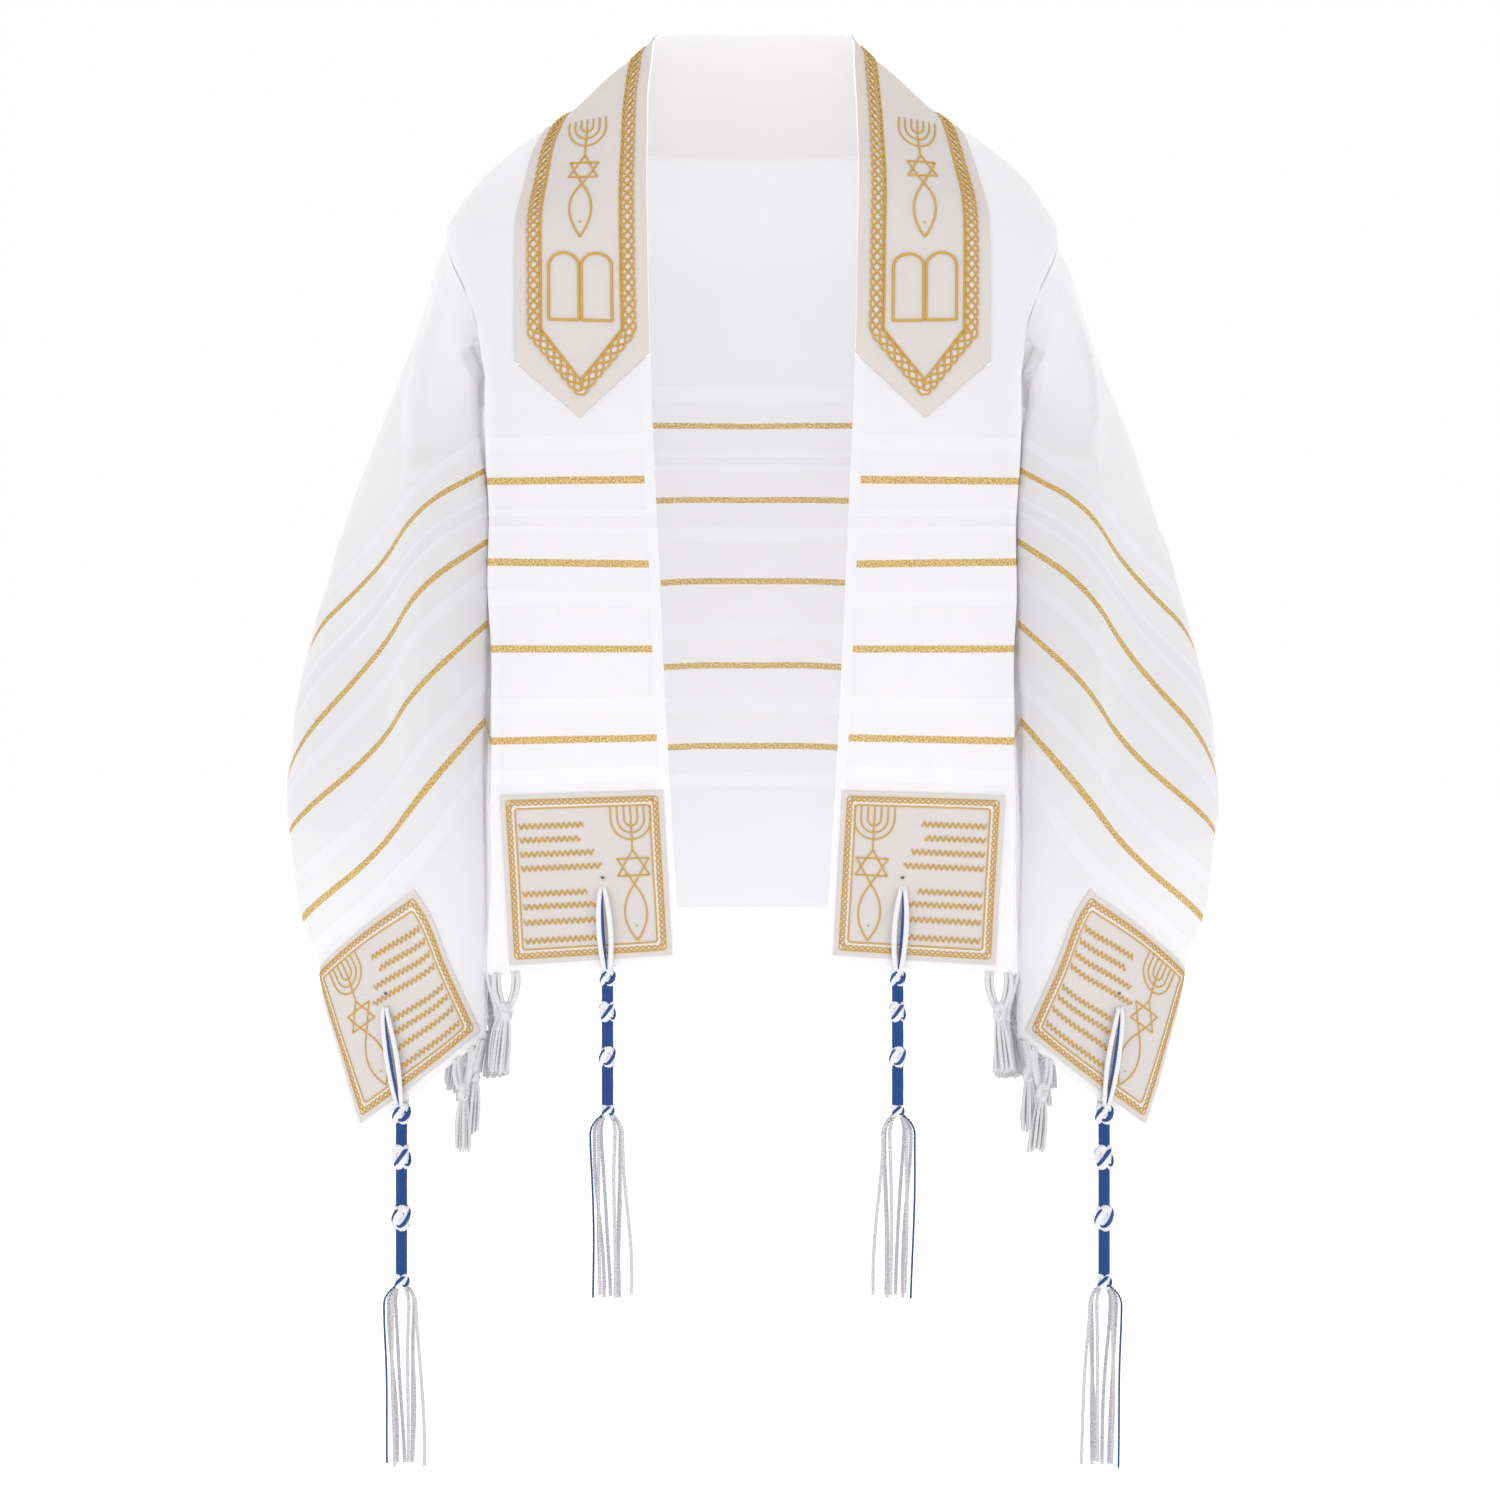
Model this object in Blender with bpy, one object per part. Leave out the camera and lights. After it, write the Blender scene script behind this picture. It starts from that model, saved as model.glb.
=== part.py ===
"""Prayer shawl (tallit), worn over the shoulders of a figure that is left out.

One rectangle of cloth hangs from the neck and the shoulders. Its neck edge runs round the back of
the neck and down both fronts, and its lower edge runs round the back hem, the elbows and the outer
corners. Metres, +Z up, +Y towards the wearer's back, origin at the base of the neck.

The cloth is laid out by its own two directions: "along" is measured along its length from the
middle of the back, and "across" is measured over its width from the neck edge. Each guide line
below runs along the cloth, and a row of the cloth joins the guide lines at one place along.
"""

import math

import bpy
import numpy as np

# ---- Driving dimensions ------------------------------------------------------------------------
CLOTH_LENGTH = 1.83
CLOTH_WIDTH = 0.78
CLOTH_WALL = 0.0015
SEAM_GAP = 0.0003
HALF_LENGTH = CLOTH_LENGTH / 2

TRIM_WALL = 0.0012
EDGE_INSET = 0.002
NECKBAND_WIDTH = 0.110
NECKBAND_SHOULDER = 0.427
NECKBAND_TIP = 0.475
NECKBAND_TIP_ACROSS = 0.059

PATCH_INSET = 0.006
PATCH_SIDE = 0.132
PATCH_FAR = PATCH_INSET + PATCH_SIDE
PATCH_TOP = HALF_LENGTH - 0.142
PATCH_BOTTOM = HALF_LENGTH - 0.007

FRINGE_STRIP = 0.006
FRINGE_START = 0.128
FRINGE_STOP = 0.104
FRINGE_TASSELS = 20
TASSEL_SPREAD = 0.008
TASSEL_KNOT_DROP = 0.030
TASSEL_SET_BACK = 0.009
TASSEL_ROOT_RADIUS = 0.0025
TASSEL_LOCKS = 3
TASSEL_ROOT_SHARE = 0.6  # Where the roots sit between the strip's upper edge and the hem
PLEAT_FACING = 0.6  # A normal that turns this far from the front belongs to the pleat
# Rings of a fringe tassel's knot and skirt. Each row: below the knot's middle, the radius, and how
# far in the valleys between the locks come, as a share of it.
TASSEL_RINGS = (
    (-0.0065, 0.0032, 0.90),
    (0.0000, 0.0052, 0.95),
    (0.0060, 0.0034, 0.90),
    (0.0500, 0.0078, 0.62),
)

EYELET_RADIUS = 0.0052
EYELET_INSET = 0.066
OUTER_EYELET_INSET = 0.0735
EYELET_FROM_EDGE = 0.069
CORD_FROM_EDGE = 0.049
LOOP_RADIUS = 0.0027
LOOP_HEM_CLEAR = 0.006
WRAP_RADIUS = 0.0046
KNOT_RADIUS = 0.0068
KNOT_HEIGHT = 0.011
KNOT_DROP = 0.008
FRONT_WRAPS = (0.0165, 0.0255, 0.0325)
OUTER_WRAPS = (0.0245, 0.0390, 0.0410)
STRANDS = 8
STRAND_LENGTH = 0.152
STRAND_UNEVENNESS = 0.035
STRAND_ROOT_DROP = 0.004
STRAND_ROOT_REACH = 0.0022
STRAND_RADIUS = 0.0018
STRAND_FLARE = 0.016
BUNCH_DEPTH = 0.45
STRAND_SPREAD = ((0.16, 0.75), (1.0, 1.0))  # Share of the length, share of the flare
TZITZIT_CLEAR = 0.0022
LOOP_TURN_DROP = 0.008
LOOP_BRIDGE_DROP = 0.001
NARROW_END = 0.35

# ---- Guide lines of the half at -X. Each row: along, x, y, z -----------------------------------
NECK_EDGE = (
    (0.000, 0.000, 0.075, 0.068),
    (0.045, -0.046, 0.070, 0.068),
    (0.083, -0.077, 0.048, 0.062),
    (0.112, -0.084, 0.029, 0.052),
    (0.140, -0.085, 0.005, 0.030),
    (0.235, -0.087, -0.060, -0.045),
    (0.350, -0.085, -0.100, -0.150),
    (0.455, -0.082, -0.118, -0.257),
    (0.588, -0.0757, -0.120, -0.399),
    (0.726, -0.0693, -0.120, -0.536),
    (0.915, -0.0587, -0.120, -0.7225),
)
PANEL_FOLD = (
    (0.000, 0.000, 0.110, -0.075),
    (0.045, -0.058, 0.110, -0.073),
    (0.083, -0.112, 0.102, -0.056),
    (0.112, -0.150, 0.090, -0.034),
    (0.140, -0.183, 0.072, -0.026),
    (0.188, -0.227, 0.030, -0.056),
    (0.235, -0.246, -0.018, -0.092),
    (0.310, -0.247, -0.070, -0.128),
    (0.370, -0.230, -0.095, -0.182),
    (0.420, -0.222, -0.108, -0.230),
    (0.523, -0.2155, -0.115, -0.331),
    (0.655, -0.2118, -0.115, -0.466),
    (0.915, -0.2125, -0.115, -0.7326),
)
SLEEVE_FOLD = (
    (0.000, 0.000, 0.117, -0.175),
    (0.045, -0.058, 0.117, -0.172),
    (0.083, -0.112, 0.115, -0.160),
    (0.140, -0.192, 0.092, -0.115),
    (0.188, -0.240, 0.056, -0.120),
    (0.235, -0.260, 0.002, -0.145),
    (0.310, -0.263, -0.055, -0.160),
    (0.370, -0.249, -0.092, -0.203),
    (0.420, -0.235, -0.103, -0.240),
    (0.460, -0.2250, -0.101, -0.271),
    (0.523, -0.2172, -0.102, -0.321),
    (0.655, -0.2160, -0.096, -0.444),
    (0.726, -0.2184, -0.096, -0.521),
    (0.915, -0.217, -0.0895, -0.785),
)
SLEEVE_CREST = (
    (0.000, 0.000, 0.122, -0.300),
    (0.045, -0.056, 0.122, -0.298),
    (0.083, -0.106, 0.121, -0.290),
    (0.140, -0.180, 0.108, -0.265),
    (0.235, -0.278, 0.045, -0.250),
    (0.310, -0.284, -0.026, -0.215),
    (0.370, -0.284, -0.066, -0.232),
    (0.420, -0.276, -0.088, -0.282),
    (0.523, -0.271, -0.110, -0.350),
    (0.655, -0.272, -0.112, -0.495),
    (0.726, -0.271, -0.106, -0.580),
    (0.770, -0.264, -0.099, -0.652),
    (0.915, -0.2415, -0.084, -0.803),
)
SLEEVE_FLANK = (
    (0.000, 0.000, 0.124, -0.430),
    (0.045, -0.053, 0.124, -0.430),
    (0.083, -0.098, 0.124, -0.425),
    (0.140, -0.170, 0.118, -0.400),
    (0.235, -0.290, 0.075, -0.360),
    (0.310, -0.310, 0.020, -0.320),
    (0.370, -0.314, -0.035, -0.292),
    (0.420, -0.309, -0.063, -0.320),
    (0.523, -0.308, -0.075, -0.404),
    (0.655, -0.308, -0.060, -0.548),
    (0.726, -0.308, -0.063, -0.630),
    (0.770, -0.314, -0.066, -0.687),
    (0.915, -0.2715, -0.080, -0.828),
)
SLEEVE_SIDE = (
    (0.000, 0.000, 0.125, -0.560),
    (0.045, -0.049, 0.125, -0.560),
    (0.083, -0.090, 0.125, -0.560),
    (0.140, -0.152, 0.124, -0.540),
    (0.235, -0.262, 0.110, -0.500),
    (0.310, -0.318, 0.075, -0.450),
    (0.370, -0.351, 0.014, -0.388),
    (0.420, -0.3585, -0.003, -0.390),
    (0.460, -0.3695, -0.010, -0.414),
    (0.523, -0.3905, -0.010, -0.468),
    (0.588, -0.397, -0.018, -0.560),
    (0.655, -0.388, -0.032, -0.610),
    (0.726, -0.3755, -0.046, -0.683),
    (0.770, -0.3595, -0.041, -0.7255),
    (0.840, -0.3365, -0.054, -0.787),
    (0.915, -0.305, -0.068, -0.853),
)
LOWER_EDGE = (
    (0.000, 0.000, 0.125, -0.688),
    (0.045, -0.043, 0.125, -0.688),
    (0.083, -0.078, 0.126, -0.690),
    (0.140, -0.130, 0.127, -0.696),
    (0.235, -0.208, 0.127, -0.696),
    (0.310, -0.266, 0.120, -0.690),
    (0.370, -0.310, 0.106, -0.682),
    (0.420, -0.335, 0.086, -0.675),
    (0.523, -0.368, 0.040, -0.655),
    (0.588, -0.380, 0.012, -0.643),
    (0.655, -0.386, -0.012, -0.630),
    (0.726, -0.375, -0.022, -0.693),
    (0.770, -0.361, -0.016, -0.7325),
    (0.797, -0.3582, -0.028, -0.7575),
    (0.840, -0.3485, -0.038, -0.798),
    (0.915, -0.3255, -0.056, -0.868),
)
# The pleat between the front panel and the sleeve drape, deepest at the hem. Each row: along, the
# depth that it may have, how far its layers stand apart at the bottom, the rounding of its folds.
PLEAT = (
    (0.000, 0.004, 0.030, 0.030),
    (0.140, 0.004, 0.028, 0.018),
    (0.235, 0.004, 0.026, 0.020),
    (0.310, 0.006, 0.020, 0.024),
    (0.370, 0.006, 0.017, 0.020),
    (0.420, 0.014, 0.014, 0.014),
    (0.460, 0.036, 0.012, 0.010),
    (0.523, 0.100, 0.012, 0.008),
    (0.655, 0.190, 0.013, 0.007),
    (0.915, 0.230, 0.014, 0.007),
)
PLEAT_TURN = (-0.13, 0.99, 0.0)
PLEAT_FORMED = 0.05
PLEAT_SLACK = 0.3
LEAST_DEPTH = 0.002
SOFT_ROUNDING = 0.2
MOST_ROUNDING = 0.48
# Flutes of the back and the sleeves. Each row: along at the middle, half the width, the depth with
# outward positive, and how far across the cloth it starts.
FLUTES = (
    (0.165, 0.042, 0.011, 0.24),
    (0.235, 0.040, -0.012, 0.22),
    (0.305, 0.042, 0.009, 0.26),
    (0.375, 0.040, -0.006, 0.30),
    (0.445, 0.042, 0.006, 0.34),
    (0.515, 0.040, -0.005, 0.42),
)
# Swell over the top of the shoulder: along at the middle, half the width, the height, how far
# across the cloth its middle is, and half its size across.
CROWN = (0.118, 0.065, 0.010, 0.050, 0.055)

# ---- Where the mesh of the cloth has its rows and lines ----------------------------------------
ALONG = (
    0.0, 0.045, 0.083, 0.112, 0.140, 0.165, 0.190, 0.218, 0.246, 0.275, 0.304, 0.333,
    0.362, 0.388, 0.412, NECKBAND_SHOULDER, NECKBAND_TIP, 0.515, 0.550, 0.588, 0.625,
    0.660, 0.700, 0.735, PATCH_TOP, 0.805, 0.837, 0.872, PATCH_BOTTOM,
)
ACROSS_PANEL = (0.0, EDGE_INSET, PATCH_INSET, NECKBAND_TIP_ACROSS, NECKBAND_WIDTH, FRINGE_START)
FROM_LOWER_EDGE = (
    PATCH_FAR, FRINGE_STOP, 0.098, EYELET_FROM_EDGE, CORD_FROM_EDGE, 0.026, PATCH_INSET, 0.0,
)
SLEEVE_LINES = 4
FOLD_LINES = 4
CORNER_SAMPLES = 9
LINE_GAP = 0.003
CUTTER_REACH = 0.012

WHITE = (0.86, 0.87, 0.90)
CREAM = (0.80, 0.74, 0.66)
TASSEL_WHITE = (0.83, 0.83, 0.86)
BLUE_WHITE = (0.35, 0.42, 0.62)


def line_at(line, along):
    """Point of a guide line: a cubic through its rows, mirrored past the middle of the back."""
    rows = np.array(line)
    mirrored = rows[:0:-1] * np.array([-1.0, -1.0, 1.0, 1.0])
    rows = np.concatenate([mirrored, rows])
    places, values = rows[:, 0], rows[:, 1:]
    slopes = np.gradient(values, places, axis=0)
    k = int(np.clip(np.searchsorted(places, along) - 1, 0, len(places) - 2))
    span = places[k + 1] - places[k]
    t = (along - places[k]) / span
    leaving = (2 * t**3 - 3 * t**2 + 1) * values[k] + (t**3 - 2 * t**2 + t) * span * slopes[k]
    reaching = (3 * t**2 - 2 * t**3) * values[k + 1] + (t**3 - t**2) * span * slopes[k + 1]
    return leaving + reaching


def unit(vector):
    return vector / max(float(np.linalg.norm(vector)), 1e-9)


def row_corners(along):
    """The corners that one row runs round, from the neck edge to the lower edge, and the rounding
    of each. What the panel and the sleeve leave of the width goes into the pleat between them."""
    rows = np.array(PLEAT)
    most, spread, rounding = (np.interp(abs(along), rows[:, 0], rows[:, c]) for c in (1, 2, 3))
    neck, fold, sleeve_fold, crest, flank, side, edge = (
        line_at(line, along)
        for line in (
            NECK_EDGE, PANEL_FOLD, SLEEVE_FOLD, SLEEVE_CREST, SLEEVE_FLANK, SLEEVE_SIDE, LOWER_EDGE,
        )
    )
    sleeve = [sleeve_fold, crest, flank, side, edge]
    seen = np.linalg.norm(fold - neck) + np.linalg.norm(np.diff(sleeve, axis=0), axis=1).sum()
    depth = float(np.clip((CLOTH_WIDTH - seen - spread) / 2, LEAST_DEPTH, most))
    formed = min(1.0, depth / PLEAT_FORMED)
    side_sign = -1.0 if along < 0 else 1.0
    turn = unit(np.array(PLEAT_TURN) * np.array([side_sign, 1.0, 1.0]))
    step = sleeve_fold - fold
    middle = (fold + sleeve_fold) / 2
    inward = unit(middle * np.array([-1.0, -1.0, 0.0]))
    bottom = middle + unit(turn * formed + inward * (1 - formed)) * depth
    apart = np.array([-side_sign * spread, 0.0, 0.0]) * formed + PLEAT_SLACK * step * (1 - formed)
    corners = [neck, fold, bottom - apart / 2, bottom + apart / 2, *sleeve]
    return corners, [rounding] * 4 + [SOFT_ROUNDING] * 3


def row_points(along):
    """One row of the cloth as points at its lines. Each corner is rounded by a parabola."""
    corners, cuts = row_corners(along)
    t = np.linspace(0, 1, CORNER_SAMPLES)[:, None]
    points, marks = [corners[0]], []
    for before, corner, after, cut in zip(corners, corners[1:], corners[2:], cuts):
        back, ahead = before - corner, after - corner
        start = corner + back * min(cut / np.linalg.norm(back), MOST_ROUNDING)
        end = corner + ahead * min(cut / np.linalg.norm(ahead), MOST_ROUNDING)
        marks.append((len(points), len(points) + CORNER_SAMPLES - 1))
        points.extend((1 - t) ** 2 * start + 2 * t * (1 - t) * corner + t**2 * end)
    points = np.array(points + [corners[-1]])
    reach = np.concatenate([[0.0], np.cumsum(np.linalg.norm(np.diff(points, axis=0), axis=1))])
    fold, first, second, sleeve = ((reach[a], reach[b]) for a, b in marks[:4])
    places = [*ACROSS_PANEL, max(min(PATCH_FAR, fold[0] - LINE_GAP / 3), FRINGE_START + LINE_GAP)]
    places += list(np.linspace(max(fold[0], places[-1] + LINE_GAP), fold[1], FOLD_LINES))
    places.append((fold[1] + first[0]) / 2)
    places += [first[0], (first[0] + first[1]) / 2, (second[0] + second[1]) / 2, second[1]]
    places.append((second[1] + sleeve[0]) / 2)
    from_edge = [reach[-1] - distance for distance in FROM_LOWER_EDGE]
    sleeve_start = min(sleeve[1], from_edge[0] - LINE_GAP * 2)
    places += list(np.linspace(sleeve[0], sleeve_start, FOLD_LINES))
    places += list(np.linspace(sleeve_start, from_edge[0], SLEEVE_LINES + 2)[1:-1]) + from_edge
    row = np.stack([np.interp(places, reach, points[:, c]) for c in range(3)], axis=1)
    return row, np.array(places) * CLOTH_WIDTH / reach[-1]


def outward(points):
    """Unit normals of a grid of points, rows along and lines across, on the cloth's outer side."""
    along = np.gradient(points, axis=0)
    across = np.gradient(points, axis=1)
    normals = np.cross(across, along)
    return normals / np.linalg.norm(normals, axis=2, keepdims=True)


def cloth_grid(rows):
    """Points of the cloth's middle surface and its outward normals, for these rows along."""
    built = [row_points(along) for along in rows]
    points = np.array([row for row, _ in built])
    across = np.array([places for _, places in built])
    along = np.array(rows)[:, None]
    swell = np.zeros(across.shape)
    for middle, half_width, depth, start in FLUTES:
        near = np.clip(np.abs(np.abs(along) - middle) / half_width, 0, 1)
        grown = np.clip((across - start) / (CLOTH_WIDTH - start), 0, 1)
        swell += depth * np.cos(near * math.pi / 2) ** 2 * grown**0.8
    middle, half_width, height, middle_across, half_across = CROWN
    near = np.clip(np.abs(np.abs(along) - middle) / half_width, 0, 1)
    over = np.clip(np.abs(across - middle_across) / half_across, 0, 1)
    swell += height * (np.cos(near * math.pi / 2) * np.cos(over * math.pi / 2)) ** 2
    points = points + outward(points) * swell[:, :, None]
    return points, outward(points)


def wall(name, rows_along, points, normals, cells, thickness, lift=0.0, extra=()):
    """Closed wall over the chosen cells of a grid, its middle lifted off the grid's surface.
    A cell is split along one diagonal on the one half of the cloth, and along the other diagonal
    on the other half. extra lists single triangles by their (row, line) corners."""
    rows, lines = points.shape[:2]
    outer = points + normals * (lift + thickness / 2)
    inner = points + normals * (lift - thickness / 2)
    vertices = np.concatenate([outer.reshape(-1, 3), inner.reshape(-1, 3)])
    under = rows * lines
    triangles = []
    for i, j in zip(*np.nonzero(cells)):
        a, b, c, d = i * lines + j, i * lines + j + 1, (i + 1) * lines + j + 1, (i + 1) * lines + j
        positive = rows_along[i] + rows_along[i + 1] > 0
        triangles += [(a, b, c), (a, c, d)] if positive else [(a, b, d), (b, c, d)]
    triangles += [tuple(i * lines + j for i, j in corners) for corners in extra]
    edges = {(t[k], t[(k + 1) % 3]) for t in triangles for k in range(3)}
    faces = triangles + [(c + under, b + under, a + under) for a, b, c in triangles]
    for a, b in sorted(edges):
        if (b, a) not in edges:
            faces += [(b, a, a + under), (b, a + under, b + under)]
    return mesh_object(name, vertices, faces)


def mesh_object(name, vertices, faces):
    """New object from vertices and faces, leaving out the vertices that no face uses."""
    used = np.unique([corner for face in faces for corner in face])
    place = {int(old): new for new, old in enumerate(used)}
    mesh = bpy.data.meshes.new(name)
    mesh.from_pydata(
        [tuple(map(float, vertices[k])) for k in used],
        [],
        [tuple(place[int(corner)] for corner in face) for face in faces],
    )
    mesh.update()
    made = bpy.data.objects.new(name, mesh)
    bpy.context.scene.collection.objects.link(made)
    return made


def tube(path, radii, sides, first_side=(0.0, -1.0, 0.0)):
    """Vertices and faces of a closed tube along a path, with a radius at each of its points."""
    path = np.array(path, dtype=float)
    heading = np.gradient(path, axis=0)
    vertices, faces = [], []
    side = np.array(first_side, dtype=float)
    for point, ahead, radius in zip(path, heading, radii):
        ahead = unit(ahead)
        side = unit(side - ahead * np.dot(side, ahead))
        other = np.cross(ahead, side)
        turns = np.linspace(0, 2 * math.pi, sides, endpoint=False)
        vertices += [point + radius * (side * math.cos(a) + other * math.sin(a)) for a in turns]
    for ring in range(len(path) - 1):
        for k in range(sides):
            low, high = ring * sides + k, ring * sides + (k + 1) % sides
            faces.append((low, high, high + sides, low + sides))
    faces.append(tuple(range(sides - 1, -1, -1)))
    faces.append(tuple(range((len(path) - 1) * sides, len(path) * sides)))
    return np.array(vertices), faces


def helper(name, parts, collection):
    """Hidden object that holds closed shapes, for a Boolean to add or cut."""
    vertices, faces = [], []
    for points, corners in parts:
        faces += [tuple(corner + len(vertices) for corner in face) for face in corners]
        vertices += list(points)
    made = mesh_object(name, vertices, faces)
    bpy.context.scene.collection.objects.unlink(made)
    collection.objects.link(made)
    made.hide_render = True
    made.display_type = "WIRE"
    return made


def helper_collection(name):
    made = bpy.data.collections.new(name)
    made.hide_render = True
    bpy.context.scene.collection.children.link(made)
    return made


def boolean(target, operand, operation, overlapping=False):
    """Boolean with one object, or with a collection of them."""
    modifier = target.modifiers.new(operation.lower(), "BOOLEAN")
    modifier.operation = operation
    if isinstance(operand, bpy.types.Collection):
        modifier.operand_type = "COLLECTION"
        modifier.collection = operand
    else:
        modifier.object = operand
    modifier.use_self = overlapping
    return modifier


def finish(obj, color, roughness):
    """The object's own Principled material."""
    material = bpy.data.materials.new(obj.name)
    material.use_nodes = True
    shader = material.node_tree.nodes["Principled BSDF"]
    shader.inputs["Base Color"].default_value = (*color, 1.0)
    shader.inputs["Roughness"].default_value = roughness
    shader.inputs["Metallic"].default_value = 0.0
    obj.data.materials.clear()
    obj.data.materials.append(material)


def row_list(places):
    """Places along both halves of the cloth, from the one short end to the other."""
    return sorted({-place for place in places} | set(places))


def index_of(values, wanted):
    return min(range(len(values)), key=lambda k: abs(values[k] - wanted))


def make_shawl(cutters):
    """The cloth: one wall. Its short ends step in by the strip that carries the fringe."""
    strip_top = HALF_LENGTH - FRINGE_STRIP
    rows = row_list([*ALONG, strip_top, HALF_LENGTH])
    points, normals = cloth_grid(rows)
    lines = points.shape[1]
    cells = np.ones((len(rows) - 1, lines - 1), dtype=bool)
    first, last = fringe_lines(lines)
    cells[0, first:last] = False
    cells[-1, first:last] = False
    shawl = wall("shawl", rows, points, normals, cells, CLOTH_WALL)
    boolean(shawl, cutters, "DIFFERENCE")
    shawl.data.shade_smooth()
    finish(shawl, WHITE, 0.75)
    return shawl


def fringe_lines(lines):
    """First and last line across that the fringe spans."""
    return len(ACROSS_PANEL) - 1, lines - len(FROM_LOWER_EDGE) + FROM_LOWER_EDGE.index(FRINGE_STOP)


def trim_lift():
    """Height of a trim's middle over the cloth's middle surface."""
    return CLOTH_WALL / 2 + SEAM_GAP + TRIM_WALL / 2


def make_neckband():
    """The band round the neck and down both fronts, ending in a point on each front panel."""
    rows = row_list([place for place in ALONG if place <= NECKBAND_TIP])
    points, normals = cloth_grid(row_list(ALONG))
    start = index_of(row_list(ALONG), rows[0])
    points, normals = points[start : start + len(rows)], normals[start : start + len(rows)]
    near, tip, far = 1, ACROSS_PANEL.index(NECKBAND_TIP_ACROSS), ACROSS_PANEL.index(NECKBAND_WIDTH)
    cells = np.zeros((len(rows) - 1, points.shape[1] - 1), dtype=bool)
    cells[1:-1, near:far] = True
    end = len(rows) - 1
    points_of_ends = [((1, j), (1, j + 1), (0, tip))[::-1] for j in range(near, far)]
    points_of_ends += [((end - 1, j), (end - 1, j + 1), (end, tip)) for j in range(near, far)]
    band = wall("neckband", rows, points, normals, cells, TRIM_WALL, trim_lift(), points_of_ends)
    band.data.shade_smooth()
    finish(band, CREAM, 0.8)
    return band


def make_patch(name, left, front, cutters):
    """A corner patch. It lies on the outer side, by the neck edge or by the lower edge."""
    rows = [place for place in ALONG if PATCH_TOP - 1e-6 <= place <= PATCH_BOTTOM + 1e-6]
    rows = rows if left else [-place for place in rows[::-1]]
    around = row_list(ALONG)
    points, normals = cloth_grid(around)
    start = index_of(around, rows[0])
    lines = points.shape[1]
    if front:
        first, last = ACROSS_PANEL.index(PATCH_INSET), len(ACROSS_PANEL)
    else:
        first = lines - len(FROM_LOWER_EDGE)
        last = first + FROM_LOWER_EDGE.index(PATCH_INSET)
    cells = np.zeros((len(around) - 1, lines - 1), dtype=bool)
    cells[start : start + len(rows) - 1, first:last] = True
    patch = wall(name, around, points, normals, cells, TRIM_WALL, trim_lift())
    boolean(patch, cutters, "DIFFERENCE")
    patch.data.shade_smooth()
    finish(patch, CREAM, 0.8)
    return patch


def tassel(left_root, right_root, knot):
    """Closed shapes of one fringe tassel: two roots, and the knot with its skirt of three locks."""
    parts = [tube([root, knot], [TASSEL_ROOT_RADIUS] * 2, 3) for root in (left_root, right_root)]
    turns = np.linspace(0, 2 * math.pi, 2 * TASSEL_LOCKS, endpoint=False)
    vertices, faces = [], []
    for drop, radius, valley in TASSEL_RINGS:
        reaches = np.where(np.arange(len(turns)) % 2, radius * valley, radius)
        for turn, reach in zip(turns, reaches):
            ring = np.array([math.cos(turn) * reach, math.sin(turn) * reach, -drop])
            vertices.append(knot + ring)
    sides = len(turns)
    for ring in range(len(TASSEL_RINGS) - 1):
        for k in range(sides):
            high, after = ring * sides + k, ring * sides + (k + 1) % sides
            faces.append((high, high + sides, after + sides, after))
    faces.append(tuple(range(sides)))
    last = (len(TASSEL_RINGS) - 1) * sides
    faces.append(tuple(range(last + sides - 1, last - 1, -1)))
    parts.append((np.array(vertices), faces))
    return parts


def make_fringe(name, left):
    """The strip parted from the short end's hem, with its row of knotted tassels."""
    places = [HALF_LENGTH - FRINGE_STRIP + SEAM_GAP, HALF_LENGTH]
    rows = places if left else [-place for place in places[::-1]]
    points, normals = cloth_grid(rows)
    first, last = fringe_lines(points.shape[1])
    points, normals = points[:, first : last + 1].copy(), normals[:, first : last + 1]
    for end, inner in ((0, 1), (-1, -2)):
        step = points[:, inner] - points[:, end]
        points[:, end] += step * SEAM_GAP / np.linalg.norm(step, axis=1, keepdims=True)
    cells = np.ones((1, points.shape[1] - 1), dtype=bool)
    strip = wall(name, rows, points, normals, cells, CLOTH_WALL * 1.2)
    hem = points[1] if left else points[0]
    upper = points[0] if left else points[1]
    root_line = hem * TASSEL_ROOT_SHARE + upper * (1 - TASSEL_ROOT_SHARE)
    facing = normals[0]
    reach = np.concatenate([[0.0], np.cumsum(np.linalg.norm(np.diff(hem, axis=0), axis=1))])

    def on_hem(place, values):
        return np.array([np.interp(place, reach, values[:, c]) for c in range(3)])

    helpers = helper_collection(name + "_tassels")
    pitch = reach[-1] / FRINGE_TASSELS
    for k in range(FRINGE_TASSELS):
        place = (k + 0.5) * pitch
        middle = on_hem(place, root_line)
        roots = [on_hem(place + s * TASSEL_SPREAD, root_line) for s in (-1, 1)]
        normal = on_hem(place, facing)
        in_pleat = abs(normal[1]) < PLEAT_FACING
        back = normal * (-TASSEL_SET_BACK if in_pleat else 0.002)
        knot = middle + back - np.array([0.0, 0.0, TASSEL_KNOT_DROP])
        helper(f"{name}_tassel_{k:02d}", tassel(roots[0], roots[1], knot), helpers)
    boolean(strip, helpers, "UNION", overlapping=True)
    strip.data.shade_smooth()
    finish(strip, TASSEL_WHITE, 0.85)
    return strip


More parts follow.
